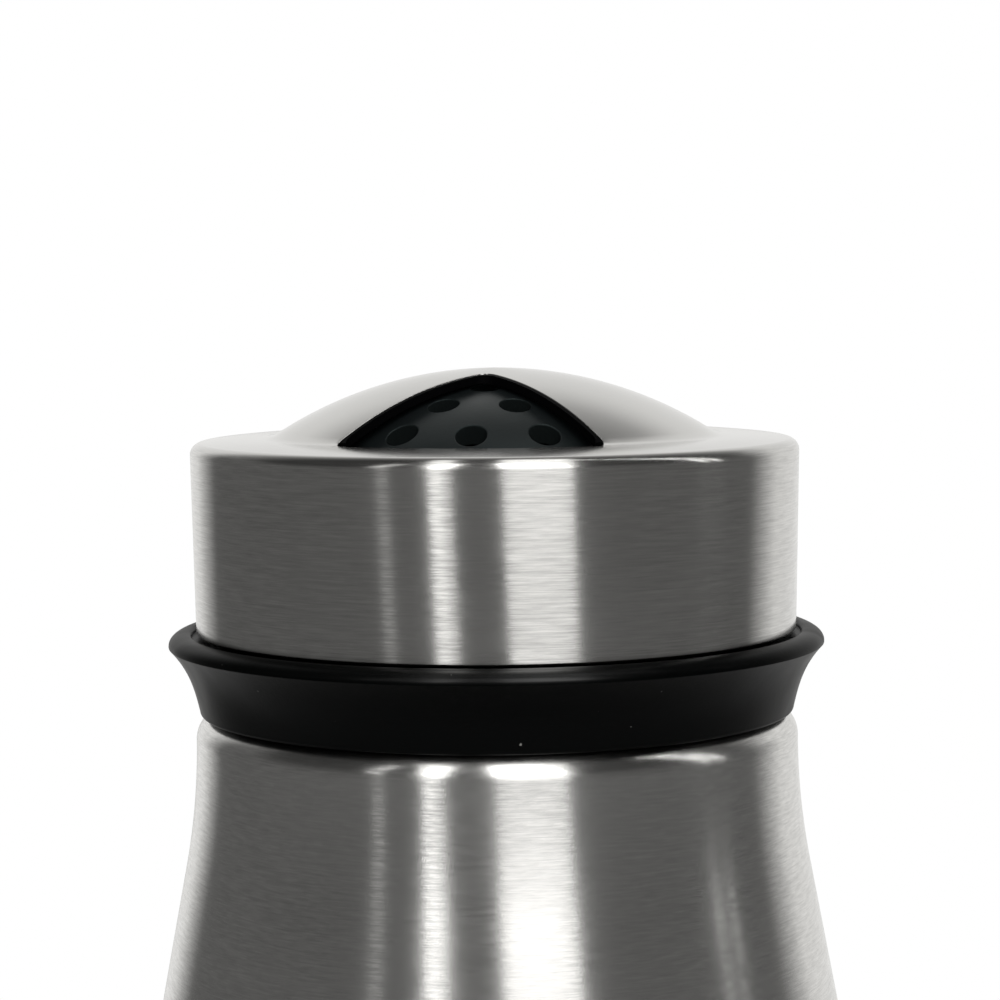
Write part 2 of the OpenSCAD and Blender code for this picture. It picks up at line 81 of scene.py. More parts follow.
# The walls: a white back and one plain dark level round the sides and front. Bearing in
# degrees and level at each corner between the two
WALL_STOPS = ((-150, 0.85), (-130, 0.13), (110, 0.13), (130, 0.85))
# Two slits in the walls: their middle, how far each lies from it, and the light in them
SLIT_BEARING = math.radians(87.5)
SLIT_APART = math.radians(3.4)
SLIT_LEVEL = 7

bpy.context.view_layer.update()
BOXES = {node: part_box(node) for node in frame["nodes"]}
BODIES = {
    node: body
    for body, nodes in frame["record"]["behaviour"]["bodies"].items()
    for node in nodes
}


# ---------------------------------------------------------------- properties


def length(name, mm, description):
    """A length whose default is given in millimetres."""
    return FloatProperty(name=name, description=description, default=mm * MM, precision=5,
                         subtype="DISTANCE", unit="LENGTH")


def share(name, default, description):
    """A number from 0 to 1."""
    return FloatProperty(name=name, description=description, default=default,
                         min=0, max=1, subtype="FACTOR")


def degrees(name, default, description):
    """An angle whose default is given in degrees."""
    return FloatProperty(name=name, description=description, default=math.radians(default),
                         subtype="ANGLE", unit="ROTATION")


def colour(name, default, description):
    """A colour, in linear light."""
    return FloatVectorProperty(name=name, description=description, default=default,
                               size=3, min=0, max=1, subtype="COLOR")


class BodySizes(bpy.types.PropertyGroup):
    """Sizes of the glass jar and of the steel sleeve over it"""
    waist: length("Waist", 23, "Radius of the sleeve at its shoulder")
    band: length("Base band", 9.6, "Height of the straight stretch of the base")
    flare_start: share("Flare start", 0.12, "Share of the bell's height over which it opens")
    flare_end: share("Flare end", 0.24, "Share of the bell's height where it begins to close")
    steel: length("Sleeve steel", 0.5, "Thickness of the sleeve")
    corner: length("Sleeve corner", 2, "Radius of the sleeve's shoulder corner")
    hem: length("Hem", 2.2, "Height of the folded hem")
    sleeve_gap: length("Air space", 0.8, "Space between the sleeve and the glass")
    sleeve_hole: length("Sleeve hole", 18.9, "Radius of the hole in the sleeve's shoulder")
    wall: length("Glass wall", 2.5, "Wall of the jar")
    floor: length("Glass floor", 6, "Thickness of the jar's floor")
    heel: length("Heel", 3, "Radius of the heel round the base")
    floor_corner: length("Floor corner", 4, "Radius between the floor and the wall, inside")
    push_up: length("Push-up", 0.8, "Depth of the hollow under the base")
    stand: length("Standing ring", 4, "Width of the ring that the jar stands on")
    jar_corner: length("Jar corner", 2, "Radius of the jar's shoulder, outside")
    jar_inner: length("Jar inner corner", 1.5, "Radius under the jar's shoulder, inside")
    neck: length("Neck", 17.4, "Radius of the neck at the root of its thread")
    neck_wall: length("Neck wall", 2.1, "Wall of the neck")
    neck_bend: length("Neck bend", 1, "Radius of the bend from the shoulder into the neck")
    mouth: length("Mouth edge", 0.9, "Radius of the mouth's rounded edges")


class ThreadSizes(bpy.types.PropertyGroup):
    """Sizes of the thread between the jar's neck and the collar"""
    pitch: length("Pitch", 3.2, "Rise of the thread in one turn")
    depth: length("Depth", 1.1, "Height of the thread above the neck")
    turns: FloatProperty(name="Turns", description="Turns of thread", default=1.25, min=0.5, max=2)
    root_width: length("Root width", 1.3, "Width of the thread at its root")
    crest_width: length("Crest width", 0.7, "Width of the thread at its crest")
    drop: length("Drop", 3.4, "Distance from the mouth down to the end of the neck's thread")
    gap: length("Gap", 0.4, "Clearance between a thread's crest and the wall that it faces")
    fade: degrees("Fade", 35, "Angle over which the thread runs out at each end")


class CollarSizes(bpy.types.PropertyGroup):
    """Sizes of the flared collar"""
    height: length("Flare height", 5.8, "Height from the foot to the ledge under the cap")
    foot: length("Foot", 0.3, "Radius of the lower corner")
    foot_in: length("Foot step", 0.3, "How much narrower the foot is than the sleeve's shoulder")
    lap: length("Lap", 0.25, "How far the foot laps down over the sleeve's rounded shoulder")
    lap_width: length("Lap width", 0.75, "Width of the part of the foot that laps over")
    sweep_even: share("Even sweep", 0.5, "Share of the flare that opens evenly")
    edge: length("Lip edge", 0.1, "Height of the thin edge of the lip")
    edge_round: length("Lip edge rounding", 0.05, "Rounding of the thin edge of the lip")
    crown_width: length("Crown width", 1.4, "Width of the lip's rounded top")
    crown_height: length("Crown height", 0.9, "Height of the lip's rounded top")
    rise: length("Lip rise", 0.4, "How far the lip stands above the ledge")
    chamfer: length("Bore chamfer", 0.5, "Chamfer at the lower end of the bore")
    recess: length("Recess", 0.6, "Depth of the recess that takes the sifter's spigot")
    spigot_gap: length("Spigot gap", 0.3, "Space under the sifter's spigot")
    track: length("Click track depth", 0.6, "Depth of the groove round the upright wall")
    track_height: length("Click track height", 2.4, "Height of the groove")
    dimple: length("Dimple depth", 0.35, "Extra depth of the four resting dimples")
    nose: length("Dimple radius", 0.8, "Radius of the four resting dimples")
    edges: length("Edge rounding", 0.15, "Rounding of the moulded edges")


class SifterSizes(bpy.types.PropertyGroup):
    """Sizes of the sifter dome under the cap"""
    thickness: length("Dome thickness", 1.2, "Thickness of the dome")
    flange: length("Flange", 1.5, "Thickness of the flange")
    throat: length("Throat", 15.15, "Radius of the hollow under the dome")
    spigot: length("Spigot", 19.45, "Radius of the spigot that enters the collar")
    spigot_wall: length("Spigot wall", 0.8, "Wall of the spigot")
    boss: length("Boss", 2.5, "Radius of the boss round the pivot")
    boss_height: length("Boss height", 1.5, "Depth of the boss")
    bore: length("Pivot bore", 1.56, "Radius of the bore that the pivot post turns in")
    coarse_hole: length("Coarse hole", 1.15, "Radius of a coarse sprinkle hole")
    coarse_first: length("First coarse hole", 4.9, "Distance from the axis to the first hole")
    coarse_step: length("Coarse row step", 4.1, "Distance between the rows of coarse holes")
    coarse_pitch: length("Coarse pitch", 5.3, "Distance between the holes of one coarse row")
    coarse_rows: IntProperty(name="Coarse rows", description="Rows of coarse holes", default=3)
    fine_hole: length("Fine hole", 0.6, "Radius of a fine sprinkle hole")
    fine_first: length("First fine hole", 4.6, "Distance from the axis to the first fine hole")
    fine_step: length("Fine row step", 3.1, "Distance between the rows of fine holes")
    fine_pitch: length("Fine pitch", 3.6, "Distance between the holes of one fine row")
    fine_rows: IntProperty(name="Fine rows", description="Rows of fine holes", default=4)
    pour: length("Pour opening", 14.6, "Radius at which the pour opening ends")
    pour_margin: length("Pour margin", 3.4, "Distance from the opening to its quarter's edges")
    pour_corner: length("Pour corner", 1, "Radius of the pour opening's corners")
    rim: length("Hole rim", 0.1, "Rounding of the holes' upper rims")
    edges: length("Edge rounding", 0.2, "Rounding of the moulded edges")


class CapSizes(bpy.types.PropertyGroup):
    """Sizes of the steel cap"""
    steel: length("Cap steel", 0.3, "Thickness of the steel")
    corner: length("Cap corner", 0.9, "Radius of the shoulder's corner")
    taper: length("Taper", 0.25, "How much narrower the lower edge is, on the radius")
    dome_rise: length("Dome rise", 5.4, "Height of the dome above the shoulder")
    dome_foot: length("Dome foot", 17.4, "Radius of the dome's foot")
    blend: length("Dome blend", 2, "Radius of the concave blend round the dome")
    crown: length("Shoulder crown", 0.28, "How far the shoulder rises towards the dome")
    plate: length("Plate radius", 20, "Radius inside which the cap is built as a pierced plate")
    window: length("Window radius", 17.3, "Radius at which the window's lower edge lies")
    window_margin: length("Window margin", 2.8, "Distance from the window to its quarter's edges")
    window_corner: length("Window corner", 0.9, "Radius of the window's lower corners")
    window_apex: length("Window apex", 1, "Radius of the window's upper corner")
    rim: length("Window rim", 0.08, "Rounding of the window's cut edge")
    hem: length("Lower edge rounding", 0.12, "Rounding of the cap's lower edge")


class RingSizes(bpy.types.PropertyGroup):
    """Inner radii and roundings of the washers, the gasket and the cushion ring"""
    washer_bore: length("Neck washer bore", 17.55, "Inner radius of the neck washer")
    cushion_width: length("Cushion width", 1.05, "Width of the cushion ring")
    seal_bore: length("Gasket bore", 15.2, "Inner radius of the gasket")
    spring_bore: length("Spring washer bore", 1.6, "Inner radius of the spring washer")
    flat_bore: length("Flat washer bore", 0.9, "Inner radius of the flat washer")
    soft_round: length("Soft rounding", 0.22, "Rounding of the rubber rings' edges")
    steel_round: length("Steel rounding", 0.08, "Rounding of the steel washers' edges")


class Finishes(bpy.types.PropertyGroup):
    """Colours of the shaker's materials"""
    cap_steel: colour("Cap steel", (0.61, 0.605, 0.59), "Finely brushed steel of the cap")
    sleeve_steel: colour("Sleeve steel", (0.67, 0.665, 0.65), "Satin steel of the sleeve")
    pivot_steel: colour("Pivot steel", (0.6, 0.6, 0.58), "Plain steel of the pivot's small parts")
    collar: colour("Collar plastic", (0.0006, 0.0008, 0.0008), "Matt black plastic of the collar")
    sifter: colour("Sifter plastic", (0.006, 0.0075, 0.008), "Dark slate plastic of the sifter")
    carrier: colour("Carrier plastic", (0.001, 0.001, 0.0012), "Black plastic inside the cap")
    washer: colour("Washer rubber", (0.05, 0.05, 0.055), "Rubber under the sleeve's shoulder")
    cushion: colour("Cushion rubber", (0.03, 0.03, 0.032), "Rubber under the sleeve's hem")
    seal: colour("Gasket silicone", (0.62, 0.62, 0.6), "Silicone of the gasket")
    glass: colour("Glass", (0.93, 0.97, 0.96), "Clear glass of the jar")
    dust: colour("Dust", (0.2, 0.2, 0.19), "Dust specks on the plastic")
    studio_floor: colour("Floor", (0.8, 0.8, 0.8), "Pale floor of the studio")


class StudioSettings(bpy.types.PropertyGroup):
    """Camera, floor and lamps"""
    heading: degrees("Heading", 7.2, "Turn of the camera round the shaker")
    pitch: degrees("Pitch", 4.5, "How far the camera looks down")
    roll: degrees("Roll", -0.55, "Tilt of the camera round its own axis")
    distance: length("Distance", 218.54, "Distance from the shaker's axis to the camera")
    side: length("Side step", 0.377, "How far the camera stands to the side")
    above_shoulder: length("Height", 12.48, "Height of the camera above the cap's shoulder")
    lens: FloatProperty(name="Lens", description="Focal length in millimetres",
                        default=103.24, subtype="DISTANCE_CAMERA")
    floor_radius: length("Floor radius", 200, "Radius of the floor")
    fade_from: length("Floor fade start", 80, "Radius at which the floor begins to turn white")
    fade_to: length("Floor fade end", 185, "Radius at which the floor is white")
    lamp_tint: colour("Lamp tint", (1.0, 0.995, 0.985), "Colour of the lamps")
    fill: FloatProperty(name="Fill", description="Radiance of the fill lamp", default=1.6, min=0)
    lamp_distance: length("Lamp distance", 1000, "Distance from the axis to the softboxes")
    lamp_foot: length("Lamp foot", -190, "Height of the lower softboxes' lower edges")
    lamp_waist: length("Lamp waist", 420, "Height at which the upper softboxes begin")
    lamp_head: length("Lamp head", 1900, "Height of the upper softboxes' upper edges")


# ------------------------------------------------------------------- outlines


def outer(node):
    """Outer radius of a round CAD node."""
    return BOXES[node][1].x


def foot(node):
    """Height of a CAD node's lowest point."""
    return BOXES[node][0].z


def head(node):
    """Height of a CAD node's highest point."""
    return BOXES[node][1].z


def arc(centre_r, centre_z, radius, start, end, steps=8):
    """Points of an arc in the plane of radius and height, with its angles in degrees."""
    return [(centre_r + radius * math.cos(a), centre_z + radius * math.sin(a))
            for a in np.radians(np.linspace(start, end, steps + 1))]


def line(start, end, spacing):
    """Points on a straight line, about a spacing apart."""
    steps = max(1, math.ceil(math.dist(start, end) / spacing))
    return [tuple(p) for p in np.linspace(start, end, steps + 1)]


def rounded(corners, steps=ROUND_STEPS):
    """A closed outline whose corners are (radius, height) or (radius, height, rounding)."""
    outline = []
    for i, corner in enumerate(corners):
        here = np.array(corner[:2])
        if len(corner) == 2:
            outline.append(tuple(here))
            continue
        rounding = corner[2]
        back = np.array(corners[i - 1][:2]) - here
        ahead = np.array(corners[(i + 1) % len(corners)][:2]) - here
        back = back / np.linalg.norm(back)
        ahead = ahead / np.linalg.norm(ahead)
        half = math.acos(np.clip(back @ ahead, -1, 1)) / 2
        middle = (back + ahead) / np.linalg.norm(back + ahead)
        centre = here + middle * rounding / math.sin(half)
        first = here + back * rounding / math.tan(half) - centre
        last = here + ahead * rounding / math.tan(half) - centre
        start = math.atan2(first[1], first[0])
        turn = (math.atan2(last[1], last[0]) - start + math.pi) % (2 * math.pi) - math.pi
        outline += arc(*centre, rounding, math.degrees(start), math.degrees(start + turn), steps)
    return outline


def bell(sizes, heights, inset):
    """Points of the bell's outline at these heights, moved inwards by an inset."""
    top = head("body_sleeve") - sizes.corner
    start, end = sizes.flare_start, sizes.flare_end

    def opened(u):
        return np.where(u < start, u * u / (2 * start),
                        np.where(u < end, u - start / 2,
                                 u - start / 2 - (u - end) ** 2 / (2 * (1 - end))))

    u = np.clip((top - np.array(heights)) / (top - sizes.band), 0, 1)
    radii = sizes.waist + (outer("glass_jar") - sizes.waist) * opened(u) / opened(np.array(1.0))
    return list(zip(radii - inset, heights))


class Dome:
    """A sphere that falls from its top through a concave blend onto a flat shoulder."""

    def __init__(self, foot_radius, blend, top, shoulder):
        rise = top - shoulder
        self.radius = (foot_radius ** 2 + rise ** 2) / (2 * rise)
        self.centre = top - self.radius
        self.blend = blend
        self.shoulder = shoulder
        self.run = math.sqrt((self.radius + blend) ** 2 - (shoulder + blend - self.centre) ** 2)

    def height(self, r, depth=0.0):
        """Height of the surface that lies a depth below the dome's own, at radius r."""
        r = np.asarray(r, float)
        inner = self.radius - depth
        sphere = self.centre + np.sqrt(np.maximum(inner ** 2 - r ** 2, 0))
        hollow = np.maximum((self.blend + depth) ** 2 - (self.run - r) ** 2, 0)
        bend = self.shoulder + self.blend - np.sqrt(hollow)
        meets = inner * self.run / (self.radius + self.blend)
        return np.where(r < meets, sphere, np.where(r < self.run, bend, self.shoulder - depth))

    def outline(self, start, end, spacing, depth=0.0):
        """Points of the dome's outline between two radii."""
        steps = math.ceil(abs(end - start) / spacing)
        return [(r, float(self.height(r, depth))) for r in np.linspace(start, end, steps + 1)]


# ------------------------------------------------------------ turned meshes


def round_angles(count):
    """Angles of the facets round the axis."""
    return np.arange(count) * 2 * math.pi / count


def turned(outline, angles=None, closed=True):
    """Vertices and faces of an outline turned round the Z axis. Points on the axis are poles."""
    angles = round_angles(SEGMENTS) if angles is None else angles
    count = len(angles)
    vertices, rings = [], []
    for r, z in outline:
        rings.append(list(range(len(vertices), len(vertices) + (count if r > WELD else 1))))
        turns = angles if r > WELD else [0.0]
        vertices += [(r * math.cos(a), r * math.sin(a), z) for a in turns]
    pairs = list(zip(rings, rings[1:] + rings[:1])) if closed else list(zip(rings, rings[1:]))
    faces = []
    for low, high in pairs:
        if len(low) == len(high) == 1:
            continue
        for i in range(count):
            j = (i + 1) % count
            if len(low) == 1:
                faces.append((low[0], high[j], high[i]))
            elif len(high) == 1:
                faces.append((low[i], low[j], high[0]))
            else:
                faces.append((low[i], low[j], high[j], high[i]))
    return np.array(vertices), faces


def helix_share(sizes, angle, z, start_z):
    """How high a thread stands at each angle and height, from 0 at its root to 1 at its crest."""
    angle = np.mod(angle, 2 * math.pi)
    length_round = 2 * math.pi * sizes.turns
    flank = (sizes.root_width - sizes.crest_width) / 2
    best = np.zeros_like(z)
    for turn in range(math.ceil(sizes.turns)):
        along = angle + 2 * math.pi * turn
        away = np.abs(z - start_z - sizes.pitch * along / (2 * math.pi))
        side = np.clip((sizes.root_width / 2 - away) / flank, 0, 1)
        end = np.clip(np.minimum(along, length_round - along) / sizes.fade, 0, 1)
        best = np.maximum(best, side * end)
    return best


def raise_thread(vertices, sizes, root, height, start_z):
    """Raises a thread on the part of a turned wall that has the root's radius."""
    radius = np.hypot(vertices[:, 0], vertices[:, 1])
    angle = np.arctan2(vertices[:, 1], vertices[:, 0])
    raised = height * helix_share(sizes, angle, vertices[:, 2], start_z)
    on_wall = np.abs(radius - root) < WELD
    scale = np.where(on_wall, 1 + raised / np.maximum(radius, WELD), 1)
    vertices[:, :2] *= scale[:, None]


def press_dimples(vertices, sizes, track, centre_z):
    """Presses the four resting dimples into the bottom of the click track."""
    radius = np.hypot(vertices[:, 0], vertices[:, 1])
    angle = np.arctan2(vertices[:, 1], vertices[:, 0])
    off = np.mod(angle + math.pi / 4, math.pi / 2) - math.pi / 4
    centre_r = track - sizes.dimple + sizes.nose
    reach = sizes.nose ** 2 - (track * off) ** 2 - (vertices[:, 2] - centre_z) ** 2
    pressed = centre_r - np.sqrt(np.maximum(reach, 0))
    deeper = (np.abs(radius - track) < WELD) & (reach > 0) & (pressed < track)
    scale = np.where(deeper, pressed / np.maximum(radius, WELD), 1)
    vertices[:, :2] *= scale[:, None]


# ------------------------------------------------------------ pierced plates


def resampled(loop, spacing):
    """A closed loop with points added where its own lie further apart than the spacing."""
    points = []
    for start, end in zip(loop, np.roll(loop, -1, axis=0)):
        points += line(start, end, spacing)[:-1]
    return np.array(points)


def loop_normals(loop):
    """Unit vectors that point out of a counter-clockwise loop, one at each of its points."""
    edges = np.roll(loop, -1, axis=0) - loop
    edges /= np.linalg.norm(edges, axis=1)[:, None]
    across = np.stack([edges[:, 1], -edges[:, 0]], axis=1)
    across += np.roll(across, 1, axis=0)
    return across / np.linalg.norm(across, axis=1)[:, None]


def inside(points, loop):
    """Whether each point lies inside a closed loop."""
    x, y = points[:, :1], points[:, 1:]
    x0, y0 = loop.T
    x1, y1 = np.roll(loop, -1, axis=0).T
    crossed = (y0 > y) != (y1 > y)
    rise = np.where(y1 == y0, 1, y1 - y0)
    return (crossed & (x < x0 + (y - y0) * (x1 - x0) / rise)).sum(axis=1) % 2 == 1


def quarter_loop(margin, radius, corner, apex, facing):
    """A quarter of a circle with a margin along its edges and rounded corners."""
    half, skip = 45, 12
    side = half - math.degrees(math.asin((margin + corner) / (radius - corner)))
    x = (radius - corner) * math.cos(math.radians(side))
    y = (radius - corner) * math.sin(math.radians(side))
    tip = (margin + apex) / math.sin(math.radians(half))
    loop = (arc(0, 0, radius, -side, side, 40)
            + arc(x, y, corner, side + skip, half + 90, 9)
            + arc(tip, 0, apex, half + 90, 270 - half, 12)
            + arc(x, -y, corner, 270 - half, 360 - skip - side, 9))
    turn = np.radians(facing)
    spin = np.array([[np.cos(turn), np.sin(turn)], [-np.sin(turn), np.cos(turn)]])
    return resampled(np.array(loop) @ spin, PLATE_SPACING / 2)


def hole_loops(radius, first, step, pitch, rows, facing, facets):
    """Round holes in rows of one, two, three and so on."""
    loops = []
    for row in range(rows):
        away = first + row * step
        apart = 2 * math.asin(pitch / 2 / away)
        for k in range(row + 1):
            turn = math.radians(facing) + (k - row / 2) * apart
            centre = (away * math.cos(turn), away * math.sin(turn))
            loops.append(np.array(arc(*centre, radius, 0, 360, facets)[:-1]))
    return loops


def polar_points(inner, outer_radius, inner_count, outer_count):
    """Points on circles from an inner radius, or the axis, to an outer one."""
    circles = math.ceil((outer_radius - inner) / PLATE_SPACING)
    points = []
    for k, r in enumerate(np.linspace(inner, outer_radius, circles + 1)):
        count = round(2 * math.pi * r / PLATE_SPACING)
        count = {0: inner_count, circles: outer_count}.get(k, count)
        turns = round_angles(count)
        points += [(r * math.cos(a), r * math.sin(a)) for a in turns] if r > WELD else [(0.0, 0.0)]
    return np.array(points)


def ring_edges(start, count):
    """Edges that join a run of points into a closed ring."""
    return [(start + i, start + (i + 1) % count) for i in range(count)]


def pierced_plate(top, bottom, inner, outer_radius, openings, rim,
                  inner_count=FEW_SEGMENTS, outer_count=SEGMENTS):
    """Vertices and faces of a domed plate with upright openings and rounded upper rims.

    top and bottom give the height at a radius. The plate is left open at its inner and outer
    circles, where a turned part joins it.
    """
    grid = polar_points(inner, outer_radius, inner_count, outer_count)
    keep = np.ones(len(grid), bool)
    for loop in openings:
        keep &= ~inside(grid, loop + loop_normals(loop) * (rim + PLATE_SPACING / 2))
    border = len(grid) - outer_count
    keep[:inner_count] = True
    keep[border:] = True
    points, drops, edges, mouths = [grid[keep]], [np.zeros(keep.sum())], [], []
    edges += ring_edges(int(keep[:border].sum()), outer_count)
    if inner > 0:
        edges += ring_edges(0, inner_count)
    total = int(keep.sum())
    for loop in openings:
        mouths.append((total, len(loop)))
        for a in np.radians(np.linspace(0, 90, ROUND_STEPS + 1)):
            points.append(loop + loop_normals(loop) * rim * (1 - math.cos(a)))
            drops.append(np.full(len(loop), rim * (1 - math.sin(a))))
            edges += ring_edges(total, len(loop))
            total += len(loop)
    points, drops = np.concatenate(points), np.concatenate(drops)
    flat = [Vector(p) for p in points / MM]
    triangles, sources = delaunay_2d_cdt(flat, edges, [], 0, 1e-5, True)[2:4]
    if len(sources) != len(points) or not all(sources):
        raise RuntimeError("the openings of a plate touch each other or its border")
    triangles = np.array([[sources[i][0] for i in t] for t in triangles])
    middles = points[triangles].mean(axis=1)
    solid = np.hypot(*middles.T) > inner * math.cos(math.pi / inner_count)
    for loop in openings:
        solid &= ~inside(middles, loop)
    triangles = triangles[solid]
    radius = np.hypot(*points.T)
    upper = np.column_stack([points, top(radius) - drops])
    lower = np.column_stack([points, bottom(radius)])
    faces = [tuple(t) for t in triangles] + [tuple(t[::-1] + total) for t in triangles]
    for start, count in mouths:
        faces += [(b, a, a + total, b + total) for a, b in ring_edges(start, count)]
    return np.concatenate([upper, lower]), faces


# --------------------------------------------------------------------- pieces


def solid_piece(name, *parts):
    """One closed object made of parts, each of them vertices and faces, that meet at their rims."""
    vertices, faces = [], []
    for part_vertices, part_faces in parts:
        start = sum(len(v) for v in vertices)
        vertices.append(part_vertices)
        faces += [tuple(int(i) + start for i in face) for face in part_faces]
    mesh = bpy.data.meshes.new(name)
    mesh.from_pydata(np.concatenate(vertices).tolist(), [], faces)
    form = bmesh.new()
    form.from_mesh(mesh)
    bmesh.ops.remove_doubles(form, verts=form.verts, dist=WELD)
    bmesh.ops.recalc_face_normals(form, faces=form.faces)
    gaps = sum(not edge.is_manifold for edge in form.edges)
    form.to_mesh(mesh)
    form.free()
    if gaps:
        raise RuntimeError(f"{name} isn't closed: {gaps} open edges")
    smooth(mesh)
    piece = bpy.data.objects.new(name, mesh)
    bpy.context.scene.collection.objects.link(piece)
    return piece


def smooth(mesh):
    """Smooth shading in which large faces stay flat up to the rounded edges beside them."""
    mesh.shade_smooth()
    areas = np.zeros(len(mesh.polygons), np.float32)
    faces = np.zeros(len(mesh.polygons) * 3, np.float32)
    mesh.polygons.foreach_get("area", areas)
    mesh.polygons.foreach_get("normal", faces)
    corners = np.zeros(len(mesh.loops), np.int32)
    totals = np.zeros(len(mesh.polygons), np.int32)
    mesh.loops.foreach_get("vertex_index", corners)
    mesh.polygons.foreach_get("loop_total", totals)
    weighted = np.repeat(faces.reshape(-1, 3) * areas[:, None] / MM ** 2, totals, axis=0)
    normals = np.zeros((len(mesh.vertices), 3))
    np.add.at(normals, corners, weighted)
    normals /= np.maximum(np.linalg.norm(normals, axis=1), 1e-12)[:, None]
    mesh.normals_split_custom_set_from_vertices(normals.tolist())


def ring(name, node, bore, edge, count):
    """A flat ring with rounded edges that fills a round node down to its bore."""
    reach, low, high = outer(node), foot(node), head(node)
    outline = rounded([(bore, low, edge), (reach, low, edge), (reach, high, edge),
                       (bore, high, edge)])
    return solid_piece(name, turned(outline, round_angles(count)))


def fit(piece, node, material):
    """Puts a piece in a CAD node's place: on the same body and with the same finish slot."""
    piece.data.materials.append(material)
    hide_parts(node)
    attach(piece, BODIES[node])


def finish_node(node, material):
    """Gives a CAD node that keeps its own mesh a better material."""
    data = frame["nodes"][node].data
    data.materials.clear()
    data.materials.append(material)


# ------------------------------------------------------------- shader helpers


def add_node(tree, kind, inputs=None, **settings):
    """Adds a shader node, sets its options and feeds its inputs with values or sockets."""
    node = tree.nodes.new("ShaderNode" + kind)
    for name, value in settings.items():
        setattr(node, name, value)
    for key, value in (inputs or {}).items():
        if isinstance(value, bpy.types.NodeSocket):
            tree.links.new(value, node.inputs[key])
        else:
            node.inputs[key].default_value = value
    return node


def calc(tree, operation, *values, clamp=False):
    """The result of a Math node."""
    node = add_node(tree, "Math", dict(enumerate(values)), operation=operation, use_clamp=clamp)
    return node.outputs[0]


def vector_calc(tree, operation, *values):
    """The result of a Vector Math node."""
    node = add_node(tree, "VectorMath", dict(enumerate(values)), operation=operation)
    return node.outputs["Value" if operation in ("LENGTH", "DOT_PRODUCT") else "Vector"]


def scaled(tree, vector, factor):
    """A vector times a number."""
    return add_node(tree, "VectorMath", {0: vector, "Scale": factor}, operation="SCALE").outputs[0]


def ranged(tree, value, low, high, to_low=0.0, to_high=1.0, smoothly=False):
    """A value mapped from one range to another and held inside it."""
    kind = "SMOOTHSTEP" if smoothly else "LINEAR"
    node = add_node(tree, "MapRange", {0: value, 1: low, 2: high, 3: to_low, 4: to_high},
                    interpolation_type=kind)
    return node.outputs[0]


def mixed(tree, factor, first, second):
    """A colour between two others."""
    node = add_node(tree, "Mix", {0: factor, 6: first, 7: second}, data_type="RGBA")
    return node.outputs[2]


def distance_from(tree, value, middle):
    """How far a value lies from a middle one."""
    return calc(tree, "ABSOLUTE", calc(tree, "SUBTRACT", value, middle))


def opaque(rgb, factor=1.0):
    """A colour with its alpha, made lighter or darker by a factor."""
    return (*[channel * factor for channel in rgb], 1.0)


def new_group(name, inputs, outputs):
    """An empty shader node group with named sockets, and its input and output nodes."""
    tree = bpy.data.node_groups.new(name, "ShaderNodeTree")
    for socket_name, default in inputs.items():
        socket = tree.interface.new_socket(socket_name, in_out="INPUT",
                                           socket_type="NodeSocketFloat")
        socket.default_value = default
    for socket_name, kind in outputs.items():
        tree.interface.new_socket(socket_name, in_out="OUTPUT", socket_type="NodeSocket" + kind)
    return tree, tree.nodes.new("NodeGroupInput").outputs, tree.nodes.new("NodeGroupOutput").inputs


def shared_group(build):
    """The node group that a function builds, made on first use."""
    name = build.__name__
    return bpy.data.node_groups.get(name) or build(name)


def place_group(tree, build, **values):
    """Outputs of a shared node group placed in a material with its own values or sockets."""
    node = tree.nodes.new("ShaderNodeGroup")
    node.node_tree = shared_group(build)
    for name, value in values.items():
        socket = node.inputs[name.replace("_", " ").capitalize()]
        if isinstance(value, bpy.types.NodeSocket):
            tree.links.new(value, socket)
        else:
            socket.default_value = value
    return node.outputs


# --------------------------------------------------------------- node groups


def brushed_lines(name):
    """Fine lines that run round the axis, and the way that they tilt the surface sideways."""
    tree, given, result = new_group(
        name, {"Length": 0.01, "Width": 0.0001, "Tilt": 0.01, "Lean": 0.0, "Seed": 0.0},
        {"Lines": "Float", "Normal": "Vector"})
    at = add_node(tree, "TexCoord").outputs["Object"]
    x, y, z = add_node(tree, "SeparateXYZ", {0: at}).outputs
    flat = add_node(tree, "CombineXYZ", {0: x, 1: y}).outputs[0]
    radius = vector_calc(tree, "LENGTH", flat)
    across = calc(tree, "DIVIDE", calc(tree, "SUBTRACT", z, radius), given["Width"])
    along_x = calc(tree, "ADD", calc(tree, "DIVIDE", x, given["Length"]), given["Seed"])
    along_y = calc(tree, "DIVIDE", y, given["Length"])
    grain = add_node(tree, "CombineXYZ", {0: along_x, 1: along_y, 2: across}).outputs[0]
    lines = add_node(tree, "TexNoise", {"Vector": grain, "Scale": 1.0, "Detail": 3.0,
                                        "Roughness": 0.62}).outputs[0]
    shifted = vector_calc(tree, "ADD", grain, (17.3, 5.1, 0.0))
    sway = add_node(tree, "TexNoise", {"Vector": shifted, "Scale": 1.0, "Detail": 1.0}).outputs[0]
    sideways = add_node(tree, "CombineXYZ", {0: calc(tree, "MULTIPLY", y, -1.0), 1: x}).outputs[0]
    sideways = vector_calc(tree, "NORMALIZE", sideways)
    amount = calc(tree, "MULTIPLY", calc(tree, "SUBTRACT", sway, 0.5), given["Tilt"])
    amount = calc(tree, "ADD", amount, given["Lean"])
    facing = add_node(tree, "NewGeometry").outputs["Normal"]
    tilted = vector_calc(tree, "ADD", facing, scaled(tree, sideways, amount))
    tree.links.new(lines, result["Lines"])
    tree.links.new(vector_calc(tree, "NORMALIZE", tilted), result["Normal"])
    return tree


